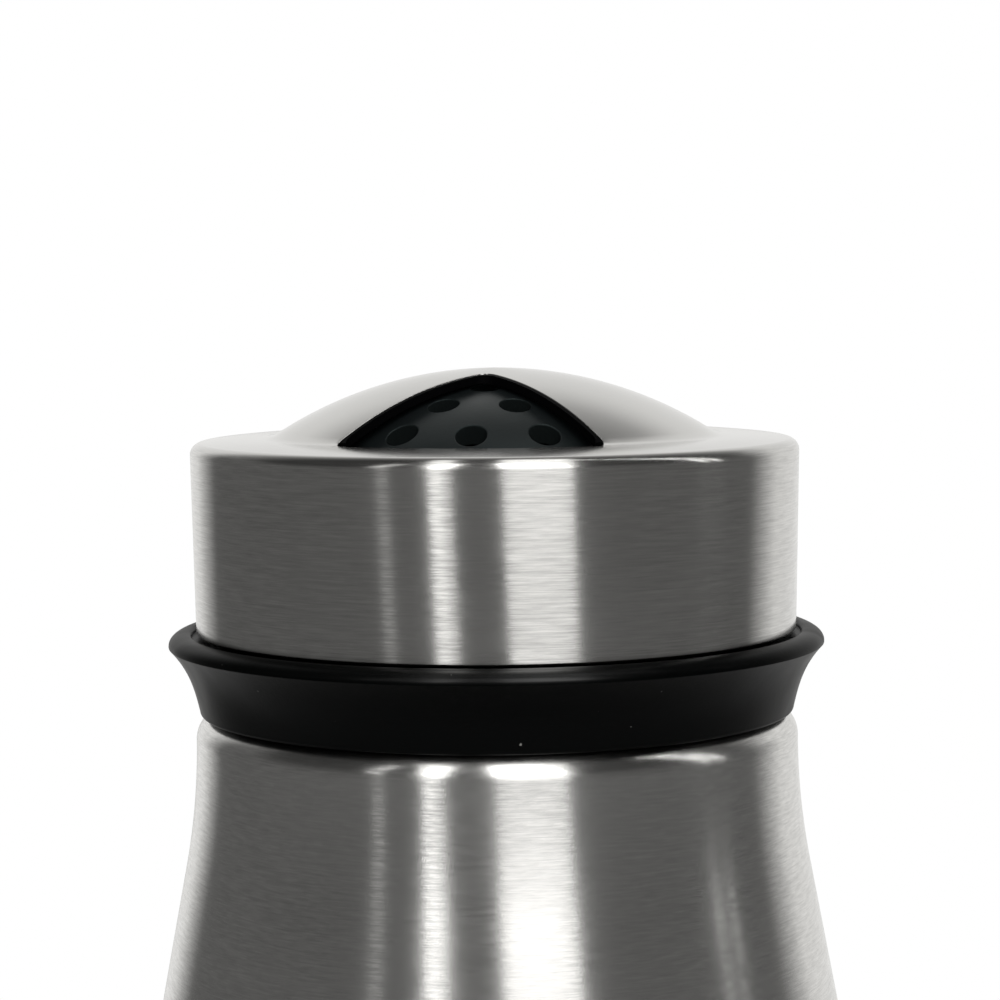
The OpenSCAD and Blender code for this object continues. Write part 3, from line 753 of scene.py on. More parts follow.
def dust_specks(name):
    """Scattered specks, as a mask: one in some of the cells of a random grid."""
    tree, given, result = new_group(
        name, {"Spacing": 0.002, "Size": 0.1, "Amount": 0.3, "Seed": 0.0}, {"Mask": "Float"})
    at = add_node(tree, "TexCoord").outputs["Object"]
    cells = scaled(tree, at, calc(tree, "DIVIDE", 1.0, given["Spacing"]))
    moved = add_node(tree, "CombineXYZ", {0: given["Seed"]}).outputs[0]
    cells = vector_calc(tree, "ADD", cells, moved)
    ragged = add_node(tree, "TexNoise", {"Vector": cells, "Scale": 9.0}).outputs["Color"]
    ragged = scaled(tree, vector_calc(tree, "SUBTRACT", ragged, (0.5, 0.5, 0.5)), 0.14)
    spots = add_node(tree, "TexVoronoi", {"Vector": vector_calc(tree, "ADD", cells, ragged),
                                          "Scale": 1.0})
    chance, odd, _ = add_node(tree, "SeparateColor", {0: spots.outputs["Color"]}).outputs
    chosen = calc(tree, "LESS_THAN", chance, given["Amount"])
    size = calc(tree, "MULTIPLY", given["Size"], ranged(tree, odd, 0, 1, 0.35, 1))
    near = calc(tree, "SUBTRACT", size, spots.outputs["Distance"])
    mask = ranged(tree, near, 0, 0.03)
    tree.links.new(calc(tree, "MULTIPLY", mask, chosen), result["Mask"])
    return tree


def smudges(name):
    """Soft patches, such as handling leaves on a surface."""
    tree, given, result = new_group(name, {"Size": 0.008, "Seed": 0.0}, {"Value": "Float"})
    at = add_node(tree, "TexCoord").outputs["Object"]
    spread = scaled(tree, at, calc(tree, "DIVIDE", 1.0, given["Size"]))
    moved = add_node(tree, "CombineXYZ", {1: given["Seed"]}).outputs[0]
    noise = add_node(tree, "TexNoise", {"Vector": vector_calc(tree, "ADD", spread, moved),
                                        "Scale": 1.0, "Detail": 3.0, "Distortion": 0.6})
    tree.links.new(ranged(tree, noise.outputs[0], 0.35, 0.65), result["Value"])
    return tree


def moulded_grain(name):
    """The fine pebbled grain of a moulded or rubbery surface."""
    tree, given, result = new_group(name, {"Size": 0.0002}, {"Height": "Float"})
    at = add_node(tree, "TexCoord").outputs["Object"]
    spread = scaled(tree, at, calc(tree, "DIVIDE", 1.0, given["Size"]))
    pebbles = add_node(tree, "TexVoronoi", {"Vector": spread, "Scale": 1.0},
                       feature="SMOOTH_F1").outputs["Distance"]
    ripple = add_node(tree, "TexNoise", {"Vector": spread, "Scale": 0.4, "Detail": 3.0}).outputs[0]
    tree.links.new(calc(tree, "ADD", pebbles, ripple), result["Height"])
    return tree


# ------------------------------------------------------------------ materials


def new_material(name):
    """An empty material, its node tree and its Principled shader."""
    material = bpy.data.materials.new(name)
    material.use_nodes = True
    tree = material.node_tree
    return material, tree, tree.nodes["Principled BSDF"]


def feed(tree, shader, **inputs):
    """Feeds the shader's inputs, named with underscores, with values or sockets."""
    for name, value in inputs.items():
        socket = shader.inputs[name.replace("_", " ")]
        if isinstance(value, bpy.types.NodeSocket):
            tree.links.new(value, socket)
        else:
            socket.default_value = value


def bumped(tree, height, distance, strength, normal=None):
    """A normal bumped by a height in metres."""
    inputs = {"Height": height, "Distance": distance, "Strength": strength}
    if normal is not None:
        inputs["Normal"] = normal
    return add_node(tree, "Bump", inputs).outputs[0]


def brushed_steel(name, base, roughness, anisotropy, streaks, contrast, tilt, speckle, top=1.0,
                  oval=(0.0, 1.0, 0.0, 0.0)):
    """Steel brushed round the axis, with long fine lines, broader streaks, a speckle and smudges.

    Above the height top the surface is smoother and its lines are faint. oval says how far out
    of round the sheet is: two heights, and how much its wall leans sideways at each of them.
    """
    material, tree, shader = new_material(name)
    line_length, line_width = streaks
    at = add_node(tree, "TexCoord").outputs["Object"]
    x, y, height = add_node(tree, "SeparateXYZ", {0: at}).outputs
    brushed = ranged(tree, height, top - 0.5 * MM, top, 1.0, 0.0, smoothly=True)
    sway = calc(tree, "MULTIPLY", brushed, tilt)
    twice = calc(tree, "MULTIPLY", calc(tree, "ARCTAN2", x, y), 2.0)
    lean = calc(tree, "MULTIPLY", calc(tree, "COSINE", twice), ranged(tree, height, *oval))
    lean = calc(tree, "MULTIPLY", lean, brushed)
    fine = place_group(tree, brushed_lines, length=line_length, width=line_width, tilt=sway,
                       lean=lean)
    broad = place_group(tree, brushed_lines, length=line_length * 0.6, width=line_width * 3.5,
                        tilt=sway, lean=lean, seed=31.0)
    touched = place_group(tree, smudges, size=9 * MM)["Value"]
    specks = place_group(tree, dust_specks, spacing=2.6 * MM, size=0.05, amount=0.12)["Mask"]
    grains = place_group(tree, moulded_grain, size=0.1 * MM)["Height"]
    lines = calc(tree, "ADD", calc(tree, "MULTIPLY", fine["Lines"], 0.55),
                 calc(tree, "MULTIPLY", broad["Lines"], 0.45))
    strength = ranged(tree, brushed, 0, 1, 0.05, 1)
    tone = calc(tree, "MULTIPLY", ranged(tree, lines, 0.36, 0.64, -1, 1), strength)
    steel = mixed(tree, ranged(tree, tone, -1, 1), opaque(base, 1 - contrast),
                  opaque(base, 1 + contrast))
    steel = mixed(tree, calc(tree, "MULTIPLY", specks, 0.6), steel, opaque(base, 1.25))
    rough = calc(tree, "MULTIPLY", ranged(tree, tone, -1, 1, roughness * 1.25, roughness * 0.8),
                 ranged(tree, brushed, 0, 1, 0.7, 1))
    rough = calc(tree, "ADD", rough, calc(tree, "MULTIPLY", touched, 0.03))
    both = vector_calc(tree, "ADD", fine["Normal"], broad["Normal"])
    relief = calc(tree, "ADD", calc(tree, "MULTIPLY", lines, 0.001 * MM),
                  calc(tree, "MULTIPLY", grains, speckle))
    relief = calc(tree, "MULTIPLY", relief, strength)
    feed(tree, shader, Base_Color=steel, Metallic=1.0, Roughness=rough, Anisotropic=anisotropy,
         Anisotropic_Rotation=0.25,
         Normal=bumped(tree, relief, 1.0, 1.0, vector_calc(tree, "NORMALIZE", both)))
    return material


def moulded_plastic(name, base, dust, roughness, level, grain, grain_depth, dust_amount,
                    tint=(1.0, 1.0, 1.0), shaded_bores=False, worn=None):
    """Moulded plastic with a fine grain, soft smudges and a little dust.

    With dull_bores its upright faces are darker and dull. worn is a height and a radius past
    which its front has been rubbed to a gloss.
    """
    material, tree, shader = new_material(name)
    touched = place_group(tree, smudges, size=6 * MM, seed=4.0)["Value"]
    specks = place_group(tree, dust_specks, spacing=2.2 * MM, size=0.085,
                         amount=dust_amount)["Mask"]
    motes = place_group(tree, dust_specks, spacing=0.7 * MM, size=0.1, amount=dust_amount,
                        seed=9.0)["Mask"]
    pebbles = place_group(tree, moulded_grain, size=grain)["Height"]
    plain = mixed(tree, touched, opaque(base, 0.9), opaque(base, 1.12))
    dusty = calc(tree, "MAXIMUM", specks, calc(tree, "MULTIPLY", motes, 0.35))
    shade = mixed(tree, dusty, plain, opaque(dust))
    rough = ranged(tree, touched, 0, 1, roughness, roughness + 0.07)
    rough = calc(tree, "ADD", rough, calc(tree, "MULTIPLY", dusty, 0.3), clamp=True)
    if shaded_bores:
        facing = add_node(tree, "NewGeometry").outputs["True Normal"]
        upward = calc(tree, "ABSOLUTE", add_node(tree, "SeparateXYZ", {0: facing}).outputs[2])
        level_face = ranged(tree, upward, 0.3, 0.7)
        # Painted shade: upright faces, the walls of the holes, are made nearly black, like the
        # shade inside the holes
        shade = mixed(tree, level_face, opaque(base, 0.02), shade)
        rough = ranged(tree, level_face, 0, 1, 1, rough)
    height = calc(tree, "ADD", calc(tree, "MULTIPLY", pebbles, grain_depth),
                  calc(tree, "MULTIPLY", dusty, 0.03 * MM))
    feed(tree, shader, Base_Color=shade, Roughness=rough, Normal=bumped(tree, height, 1.0, 1.0),
         Specular_IOR_Level=level, Specular_Tint=opaque(tint), Coat_Roughness=0.25)
    if worn:
        height, radius = worn
        at = add_node(tree, "TexCoord").outputs["Object"]
        x, y, up = add_node(tree, "SeparateXYZ", {0: at}).outputs
        away = vector_calc(tree, "LENGTH", add_node(tree, "CombineXYZ", {0: x, 1: y}).outputs[0])
        rubbed = calc(tree, "MULTIPLY", ranged(tree, up, height, height + 0.2 * MM),
                      ranged(tree, away, radius, radius + 0.2 * MM))
        rubbed = calc(tree, "MULTIPLY", rubbed, ranged(tree, y, -20 * MM, -23.5 * MM))
        patches = ranged(tree, touched, 0, 1, 0.35, 0.55)
        feed(tree, shader, Coat_Weight=calc(tree, "MULTIPLY", rubbed, patches))
    return material


def soft_rubber(name, base, roughness):
    """Matt rubber or silicone with a powdery surface."""
    material, tree, shader = new_material(name)
    touched = place_group(tree, smudges, size=3 * MM)["Value"]
    pebbles = place_group(tree, moulded_grain, size=0.12 * MM)["Height"]
    feed(tree, shader, Base_Color=mixed(tree, touched, opaque(base, 0.85), opaque(base, 1.1)),
         Roughness=ranged(tree, touched, 0, 1, roughness, roughness + 0.1),
         Normal=bumped(tree, calc(tree, "MULTIPLY", pebbles, 0.008 * MM), 1.0, 1.0))
    shader.inputs["Sheen Weight"].default_value = 0.1
    return material


def clear_glass(name, base):
    """Clear pressed glass with the faint waves that its mould leaves."""
    material, tree, shader = new_material(name)
    waves = place_group(tree, smudges, size=11 * MM)["Value"]
    prints = place_group(tree, smudges, size=4 * MM, seed=12.0)["Value"]
    feed(tree, shader, Base_Color=opaque(base), Metallic=0.0, Transmission_Weight=1.0, IOR=1.5,
         Roughness=ranged(tree, prints, 0, 1, 0.0, 0.035),
         Normal=bumped(tree, waves, 0.05 * MM, 1.0))
    return material


# ------------------------------------------------------------------ operators


class SHAKER_OT_stage(bpy.types.Operator):
    """Set up the camera, the floor, the softboxes and the white background"""
    bl_idname = "shaker.stage"
    bl_label = "Stage"

    def execute(self, context):
        studio = context.scene.shaker_studio
        turn = Matrix.Rotation(studio.heading, 4, "Z")
        self.place_camera(context.scene, studio, turn)
        self.lay_floor(context.scene, studio)
        self.hang_lamps(context.scene, studio, turn)
        self.light_world(context.scene, studio)
        context.scene.view_settings.view_transform = "Standard"
        return {"FINISHED"}

    def place_camera(self, scene, studio, turn):
        """A camera that looks a little down on the cap, from the window's side."""
        data = bpy.data.cameras.new("studio_camera")
        data.lens = studio.lens
        data.sensor_width = 36
        data.clip_start = 1 * MM
        camera = bpy.data.objects.new("studio_camera", data)
        shoulder = head("cap_shell") - scene.shaker_cap.dome_rise
        place = Vector((studio.side, -studio.distance, shoulder + studio.above_shoulder))
        tilt = Matrix.Rotation(math.radians(90) - studio.pitch, 4, "X")
        roll = Matrix.Rotation(studio.roll, 4, "Z")
        camera.matrix_world = turn @ Matrix.Translation(place) @ tilt @ roll
        scene.collection.objects.link(camera)
        scene.camera = camera

    def lay_floor(self, scene, studio):
        """A round pale floor that turns white towards its rim and keeps the shaker's shadow."""
        circles = np.linspace(0, studio.floor_radius, 24)
        vertices, faces = turned([(r, 0.0) for r in circles], closed=False)
        mesh = bpy.data.meshes.new("studio_floor")
        mesh.from_pydata(vertices.tolist(), [], [face[::-1] for face in faces])
        material, tree, shader = new_material("studio_floor")
        at = add_node(tree, "TexCoord").outputs["Object"]
        away = vector_calc(tree, "LENGTH", at)
        faded = ranged(tree, away, studio.fade_from, studio.fade_to, smoothly=True)
        path = add_node(tree, "LightPath").outputs
        seen = calc(tree, "MAXIMUM", path["Is Camera Ray"], path["Is Transmission Ray"])
        seen = calc(tree, "MAXIMUM", seen, path["Is Glossy Ray"])
        white = add_node(tree, "Emission", {"Color": opaque((1, 1, 1)), "Strength": 1.0})
        pick = add_node(tree, "MixShader", {0: calc(tree, "MULTIPLY", faded, seen),
                                            1: shader.outputs[0], 2: white.outputs[0]})
        tree.links.new(pick.outputs[0], tree.nodes["Material Output"].inputs["Surface"])
        mottle = place_group(tree, smudges, size=40 * MM)["Value"]
        pale = scene.shaker_finishes.studio_floor
        feed(tree, shader, Roughness=0.6,
             Base_Color=mixed(tree, mottle, opaque(pale, 0.99), opaque(pale, 1.01)))
        mesh.materials.append(material)
        floor = bpy.data.objects.new("studio_floor", mesh)
        scene.collection.objects.link(floor)

    def hang_lamps(self, scene, studio, turn):
        """Upright softboxes round the front, in a lower and a brighter upper row, and a fill lamp.

        Each softbox has its bearing, width and radiance. The fill lamp lights the plastics
        evenly and doesn't show in the steel.
        """
        low, waist, high = studio.lamp_foot, studio.lamp_waist, studio.lamp_head
        softboxes = {
            "wide_softbox": (WIDE_BEARING, 25.6, low, waist, 1.05),
            "wide_upper_softbox": (WIDE_BEARING, 25.6, waist, high, 3.0),
            "narrow_softbox": (-20.2, 5.0, low, waist, 1.4),
            "narrow_side_softbox": (-16.0, 3.4, low, waist, 0.8),
            "narrow_upper_softbox": (NARROW_BEARING, 8.0, waist, high, 3.0),
            "faint_softbox": (-40.0, 4.4, low, waist, 0.25),
            "faint_upper_softbox": (-43.0, 6.0, waist, 1400 * MM, 1.0),
        }
        for name, (bearing, spread, start, end, radiance) in softboxes.items():
            wide = 2 * studio.lamp_distance * math.tan(math.radians(spread / 2))
            self.hang(scene, studio, turn, name, bearing, (wide, end - start),
                      (end + start) / 2, radiance)
        fill = self.hang(scene, studio, turn, "fill_lamp", -8.0, (studio.lamp_distance,) * 2,
                         studio.lamp_waist, studio.fill)
        fill.visible_glossy = False

    def hang(self, scene, studio, turn, name, bearing, size, height, radiance):
        """A rectangular lamp at a bearing round the shaker, facing its axis."""
        data = bpy.data.lights.new(name, "AREA")
        data.shape = "RECTANGLE"
        data.size, data.size_y = size
        data.energy = radiance * math.pi * size[0] * size[1]
        data.color = studio.lamp_tint
        lamp = bpy.data.objects.new(name, data)
        swing = Matrix.Rotation(math.radians(bearing), 4, "Z")
        place = Matrix.Translation((0, -studio.lamp_distance, height))
        lamp.matrix_world = turn @ swing @ place @ Matrix.Rotation(math.radians(90), 4, "X")
        lamp.visible_camera = False
        scene.collection.objects.link(lamp)
        return lamp

    def light_world(self, scene, studio):
        """White behind and above the shaker, and dim round the front, as in a light tent."""
        world = bpy.data.worlds.new("studio_world")
        world.use_nodes = True
        scene.world = world
        tree = world.node_tree
        toward = add_node(tree, "TexCoord").outputs["Generated"]
        turned_back = add_node(tree, "VectorRotate", {"Vector": toward, "Angle": -studio.heading},
                               rotation_type="Z_AXIS").outputs[0]
        x, y, z = add_node(tree, "SeparateXYZ", {0: turned_back}).outputs
        bearing = calc(tree, "ARCTAN2", x, calc(tree, "MULTIPLY", y, -1.0))
        rise = calc(tree, "SUBTRACT", z, ranged(tree, y, 0, 1, 0, 0.35))
        around = mixed(tree, ranged(tree, rise, 0.12, 0.42), self.walls(tree, bearing),
                       self.roof(tree, x, y))
        around = mixed(tree, self.slits(tree, bearing, z), around, opaque(GREY, SLIT_LEVEL))
        path = add_node(tree, "LightPath").outputs
        seen = calc(tree, "MAXIMUM", path["Is Camera Ray"], path["Is Transmission Ray"])
        tree.links.new(mixed(tree, seen, around, opaque((1, 1, 1))),
                       tree.nodes["Background"].inputs["Color"])

    def walls(self, tree, bearing):
        """The light of the tent's walls at a bearing."""
        node = add_node(tree, "ValToRGB", {0: ranged(tree, bearing, -math.pi, math.pi)})
        ramp = node.color_ramp.elements
        while len(ramp) < len(WALL_STOPS):
            ramp.new(0.5)
        for element, (angle, level) in zip(ramp, WALL_STOPS):
            element.position = (angle + 180) / 360
            element.color = opaque(GREY, level)
        return node.outputs[0]

    def roof(self, tree, x, y):
        """The light from above: white at the back, with two bright panels over the softboxes."""
        back = calc(tree, "POWER", ranged(tree, y, 0.02, 0.95), 2.5)
        plain = mixed(tree, back, opaque(GREY, 0.05), opaque(GREY, 1.02))
        fan = calc(tree, "MULTIPLY", calc(tree, "ARCTAN2", x, calc(tree, "SUBTRACT", 1.0, y)), 2.0)
        fan = calc(tree, "DEGREES", fan)
        wide = ranged(tree, distance_from(tree, fan, WIDE_BEARING), 12, 14.5, 1, 0)
        narrow = ranged(tree, distance_from(tree, fan, NARROW_BEARING), 3, 5.5, 1, 0)
        panels = calc(tree, "MULTIPLY", calc(tree, "MAXIMUM", wide, narrow),
                      ranged(tree, y, 0.1, 0.4, 1, 0, smoothly=True))
        return mixed(tree, panels, plain, opaque(GREY, 1.6))

    def slits(self, tree, bearing, z):
        """Where the two slits are, which fade out towards the horizon."""
        side = distance_from(tree, bearing, SLIT_BEARING)
        slit = ranged(tree, distance_from(tree, side, SLIT_APART),
                      math.radians(0.3), math.radians(0.9), 1, 0)
        return calc(tree, "MULTIPLY", slit, ranged(tree, z, 0.0, 0.4))


class SHAKER_OT_jar(bpy.types.Operator):
    """Build the glass jar with its threaded neck"""
    bl_idname = "shaker.jar"
    bl_label = "Glass Jar"

    def execute(self, context):
        body, thread = context.scene.shaker_body, context.scene.shaker_thread
        base = outer("glass_jar")
        mouth = head("glass_jar")
        band = foot("sleeve_cushion")
        shoulder = foot("neck_washer")
        skin = body.steel + body.sleeve_gap
        wall = skin + body.wall
        inner = shoulder - body.wall
        bore = body.neck - body.neck_wall
        hollow = base - body.heel - body.stand
        flat = body.waist - skin - body.jar_corner
        ends = mouth - thread.drop
        starts = ends - thread.pitch * thread.turns
        floor_top = body.floor + body.floor_corner
        outline = [(0, body.push_up), (hollow - 2 * body.push_up, body.push_up), (hollow, 0)]
        outline += arc(base - body.heel, body.heel, body.heel, -90, 0, 12)
        outline += bell(body, np.linspace(body.band, band - skin / 2, 12), 0)
        outline += arc(bell(body, [band], 0)[0][0] - skin / 2, band - skin / 2, skin / 2, 15, 90, 5)
        outline += bell(body, np.linspace(band, shoulder - body.jar_corner, 60), skin)
        outline += arc(flat, shoulder - body.jar_corner, body.jar_corner, 6, 90, 12)
        outline += line((body.neck, shoulder), (body.neck, starts - thread.root_width), 1 * MM)
        outline += line((body.neck, starts - thread.root_width / 1.5),
                        (body.neck, ends + thread.root_width / 1.5), 0.1 * MM)
        outline += arc(body.neck - body.mouth, mouth - body.mouth, body.mouth, 0, 90, 8)
        outline += arc(bore + body.mouth, mouth - body.mouth, body.mouth, 90, 180, 8)
        outline += arc(bore + body.neck_bend, inner + body.neck_bend, body.neck_bend, 180, 270, 8)
        outline += arc(body.waist - wall - body.jar_inner, inner - body.jar_inner,
                       body.jar_inner, 90, 0, 8)
        outline += bell(body, np.linspace(inner - 2 * body.jar_inner, floor_top, 60), wall)
        outline += arc(base - wall - body.floor_corner, floor_top, body.floor_corner, -8, -90, 12)
        outline += [(0, body.floor)]
        vertices, faces = turned(outline, closed=False)
        raise_thread(vertices, thread, body.neck, thread.depth, starts)
        jar = solid_piece("jar_body", (vertices, faces))
        fit(jar, "glass_jar", clear_glass("jar_glass", context.scene.shaker_finishes.glass))
        return {"FINISHED"}


class SHAKER_OT_sleeve(bpy.types.Operator):
    """Build the bell-shaped steel sleeve with its folded hem"""
    bl_idname = "shaker.sleeve"
    bl_label = "Steel Sleeve"

    def execute(self, context):
        body = context.scene.shaker_body
        low, high = foot("body_sleeve"), head("body_sleeve")
        shoulder = high - body.corner
        fold = body.steel
        edge = body.steel * 0.4
        corner_r = body.waist - body.corner
        hem_r = bell(body, [low + fold], fold)[0][0]
        outline = bell(body, np.linspace(low + fold, shoulder, 90), 0)
        outline += arc(corner_r, shoulder, body.corner, 5, 88, 14)
        outline += arc(body.sleeve_hole + edge, high - edge, edge, 90, 180, 4)
        outline += arc(body.sleeve_hole + edge, high - body.steel + edge, edge, 180, 270, 4)
        outline += arc(corner_r, shoulder, body.corner - body.steel, 88, 5, 14)
        outline += bell(body, np.linspace(shoulder, low + body.hem, 90), body.steel)
        outline += arc(bell(body, [low + body.hem - fold / 2], 1.5 * fold)[0][0],
                       low + body.hem - fold / 2, fold / 2, 75, 180, 6)
        outline += bell(body, np.linspace(low + body.hem - fold, low + fold * 1.1, 8), 2 * fold)
        outline += arc(hem_r, low + fold, fold, 180, 355, 14)
        sleeve = solid_piece("sleeve_bell", turned(outline))
        steel = brushed_steel("satin_steel", context.scene.shaker_finishes.sleeve_steel,
                              roughness=0.19, anisotropy=0.75, streaks=(2.4 * MM, 0.1 * MM),
                              contrast=0.14, tilt=0.019, speckle=0.001 * MM,
                              oval=(76 * MM, high, 0.02, 0.045))
        fit(sleeve, "body_sleeve", steel)
        return {"FINISHED"}


class SHAKER_OT_soft_rings(bpy.types.Operator):
    """Build the neck washer, the cushion ring and the gasket"""
    bl_idname = "shaker.soft_rings"
    bl_label = "Soft Rings"

    def execute(self, context):
        rings, finishes = context.scene.shaker_rings, context.scene.shaker_finishes
        soft = {
            "neck_washer": ("washer_ring", rings.washer_bore,
                            soft_rubber("washer_rubber", finishes.washer, 0.7)),
            "sleeve_cushion": ("cushion_ring", outer("sleeve_cushion") - rings.cushion_width,
                               soft_rubber("cushion_rubber", finishes.cushion, 0.6)),
            "lid_seal": ("seal_ring", rings.seal_bore,
                         soft_rubber("seal_silicone", finishes.seal, 0.5)),
        }
        for node, (name, bore, rubber) in soft.items():
            fit(ring(name, node, bore, rings.soft_round, SEGMENTS), node, rubber)
        return {"FINISHED"}


class SHAKER_OT_collar(bpy.types.Operator):
    """Build the flared collar with its thread and its click track"""
    bl_idname = "shaker.collar"
    bl_label = "Collar"

    def execute(self, context):
        body, collar = context.scene.shaker_body, context.scene.shaker_collar
        thread, finishes = context.scene.shaker_thread, context.scene.shaker_finishes
        low, high, lip = foot("collar"), head("collar"), outer("collar")
        ledge = low + collar.height
        wall = outer("sifter")
        bore = body.neck + thread.depth + thread.gap
        recess = bore + collar.recess
        recess_foot = foot("sifter") - collar.spigot_gap
        crown = ledge + collar.rise - collar.crown_height
        edge_low = crown - collar.edge
        sweep_low = low + collar.foot
        track = wall - collar.track
        track_z = (ledge + high) / 2
        half_track = collar.track_height / 2
        ends = head("glass_jar") - thread.drop - thread.pitch / 2
        starts = ends - thread.pitch * thread.turns
        soft = collar.edges
        foot_out = body.waist - collar.foot_in
        even = collar.sweep_even
        sweep = [(foot_out + (lip - foot_out) * (even * t + (1 - even) * t ** 3),
                  sweep_low + (edge_low - sweep_low) * t) for t in np.linspace(0, 1, 30)]
        roll = [(lip - collar.crown_width * (1 - math.cos(a)),
                 crown + collar.crown_height * math.sin(a))
                for a in np.radians(np.arange(0, 91, 6))]
        lap_r, under = foot_out - collar.lap_width, low + collar.lap
        corners = [(bore + collar.chamfer, under, soft), (lap_r, under), (lap_r, low, soft / 2)]
        corners += arc(foot_out - collar.foot, sweep_low, collar.foot, -90, -12, 8)
        corners += sweep[:-1] + [(*sweep[-1], collar.edge_round)] + roll
        corners += arc(lip - collar.crown_width, ledge, collar.rise, 102, 180, 6)
        corners += [(wall, ledge, soft), (wall, track_z - half_track, soft / 2)]
        corners += line((track, track_z - half_track), (track, track_z + half_track), 0.12 * MM)
        corners += [(wall, track_z + half_track, soft / 2), (wall, high, soft)]
        corners += [(recess, high, soft), (recess, recess_foot, soft / 2)]
        corners += [(bore, recess_foot - collar.recess)]
        corners += line((bore, ends + thread.root_width / 1.5),
                        (bore, starts - thread.root_width / 1.5), 0.1 * MM)
        corners += line((bore, starts - thread.root_width), (bore, under + collar.chamfer), 1 * MM)
        near = np.radians(np.arange(-2.6, 2.61, 0.2))
        angles = [a + near for a in round_angles(4)] + [round_angles(SEGMENTS)]
        angles = np.unique(np.round(np.mod(np.concatenate(angles), 2 * math.pi), 5))
        vertices, faces = turned(rounded(corners), angles)
        raise_thread(vertices, thread, bore, -thread.depth, starts)
        press_dimples(vertices, collar, track, track_z)
        piece = solid_piece("collar_ring", (vertices, faces))
        plastic = moulded_plastic("collar_plastic", finishes.collar, finishes.dust, roughness=0.33,
                                  level=0.04, grain=0.16 * MM, grain_depth=0.004 * MM,
                                  dust_amount=0.1, worn=(crown, lip - 0.9 * MM))
        fit(piece, "collar", plastic)
        return {"FINISHED"}


class SHAKER_OT_sifter(bpy.types.Operator):
    """Build the sifter dome with its coarse holes, its fine holes and its pour opening"""
    bl_idname = "shaker.sifter"
    bl_label = "Sifter"

    def execute(self, context):
        sifter, cap = context.scene.shaker_sifter, context.scene.shaker_cap
        finishes = context.scene.shaker_finishes
        top, low, reach = head("sifter"), foot("sifter"), outer("sifter")
        flange = head("collar")
        dome = Dome(cap.dome_foot, cap.blend, top, flange + sifter.flange)
        spigot_in = sifter.spigot - sifter.spigot_wall
        boss_foot = top - sifter.thickness - sifter.boss_height
        soft = sifter.edges

        openings = hole_loops(sifter.coarse_hole, sifter.coarse_first, sifter.coarse_step,
                              sifter.coarse_pitch, sifter.coarse_rows, -90, 44)
        openings += hole_loops(sifter.fine_hole, sifter.fine_first, sifter.fine_step,
                               sifter.fine_pitch, sifter.fine_rows, 0, 28)
        openings.append(quarter_loop(sifter.pour_margin, sifter.pour, sifter.pour_corner,
                                     sifter.pour_corner, 90))
        plate = pierced_plate(dome.height, lambda r: dome.height(r, sifter.thickness),
                              sifter.boss, sifter.throat, openings, sifter.rim)

        under = float(dome.height(sifter.throat, sifter.thickness))
        rim = dome.outline(sifter.throat, reach - 2 * soft, 0.3 * MM)
        rim += arc(reach - soft, flange + sifter.flange - soft, soft, 90, 0, 5)
        rim += [(reach, flange), (sifter.spigot, flange)]
        rim += arc(sifter.spigot - soft, low + soft, soft, 0, -90, 4)
        rim += arc(spigot_in + soft, low + soft, soft, -90, -180, 4)
        rim += [(spigot_in, flange)]
        rim += arc(sifter.throat + soft, flange + soft, soft, -90, -180, 4)
        rim += [(sifter.throat, under)]
        boss = dome.outline(sifter.boss, sifter.bore + soft, 0.1 * MM)
        boss += [(sifter.bore, float(dome.height(sifter.bore)) - soft)]
        boss += [(sifter.bore, boss_foot), (sifter.boss - soft, boss_foot)]
        boss += arc(sifter.boss - soft, boss_foot + soft, soft, -80, 0, 4)
        boss += [(sifter.boss, float(dome.height(sifter.boss, sifter.thickness)))]
        piece = solid_piece("sifter_dome", plate, turned(rim, closed=False),
                            turned(boss, round_angles(FEW_SEGMENTS), closed=False))
        # The sifter's hole walls carry a painted shade, nearly black
        plastic = moulded_plastic("sifter_plastic", finishes.sifter, finishes.dust, roughness=0.3,
                                  level=0.35, grain=0.22 * MM, grain_depth=0.003 * MM,
                                  dust_amount=0.05, tint=(0.78, 1.0, 1.0), shaded_bores=True)
        fit(piece, "sifter", plastic)
        return {"FINISHED"}


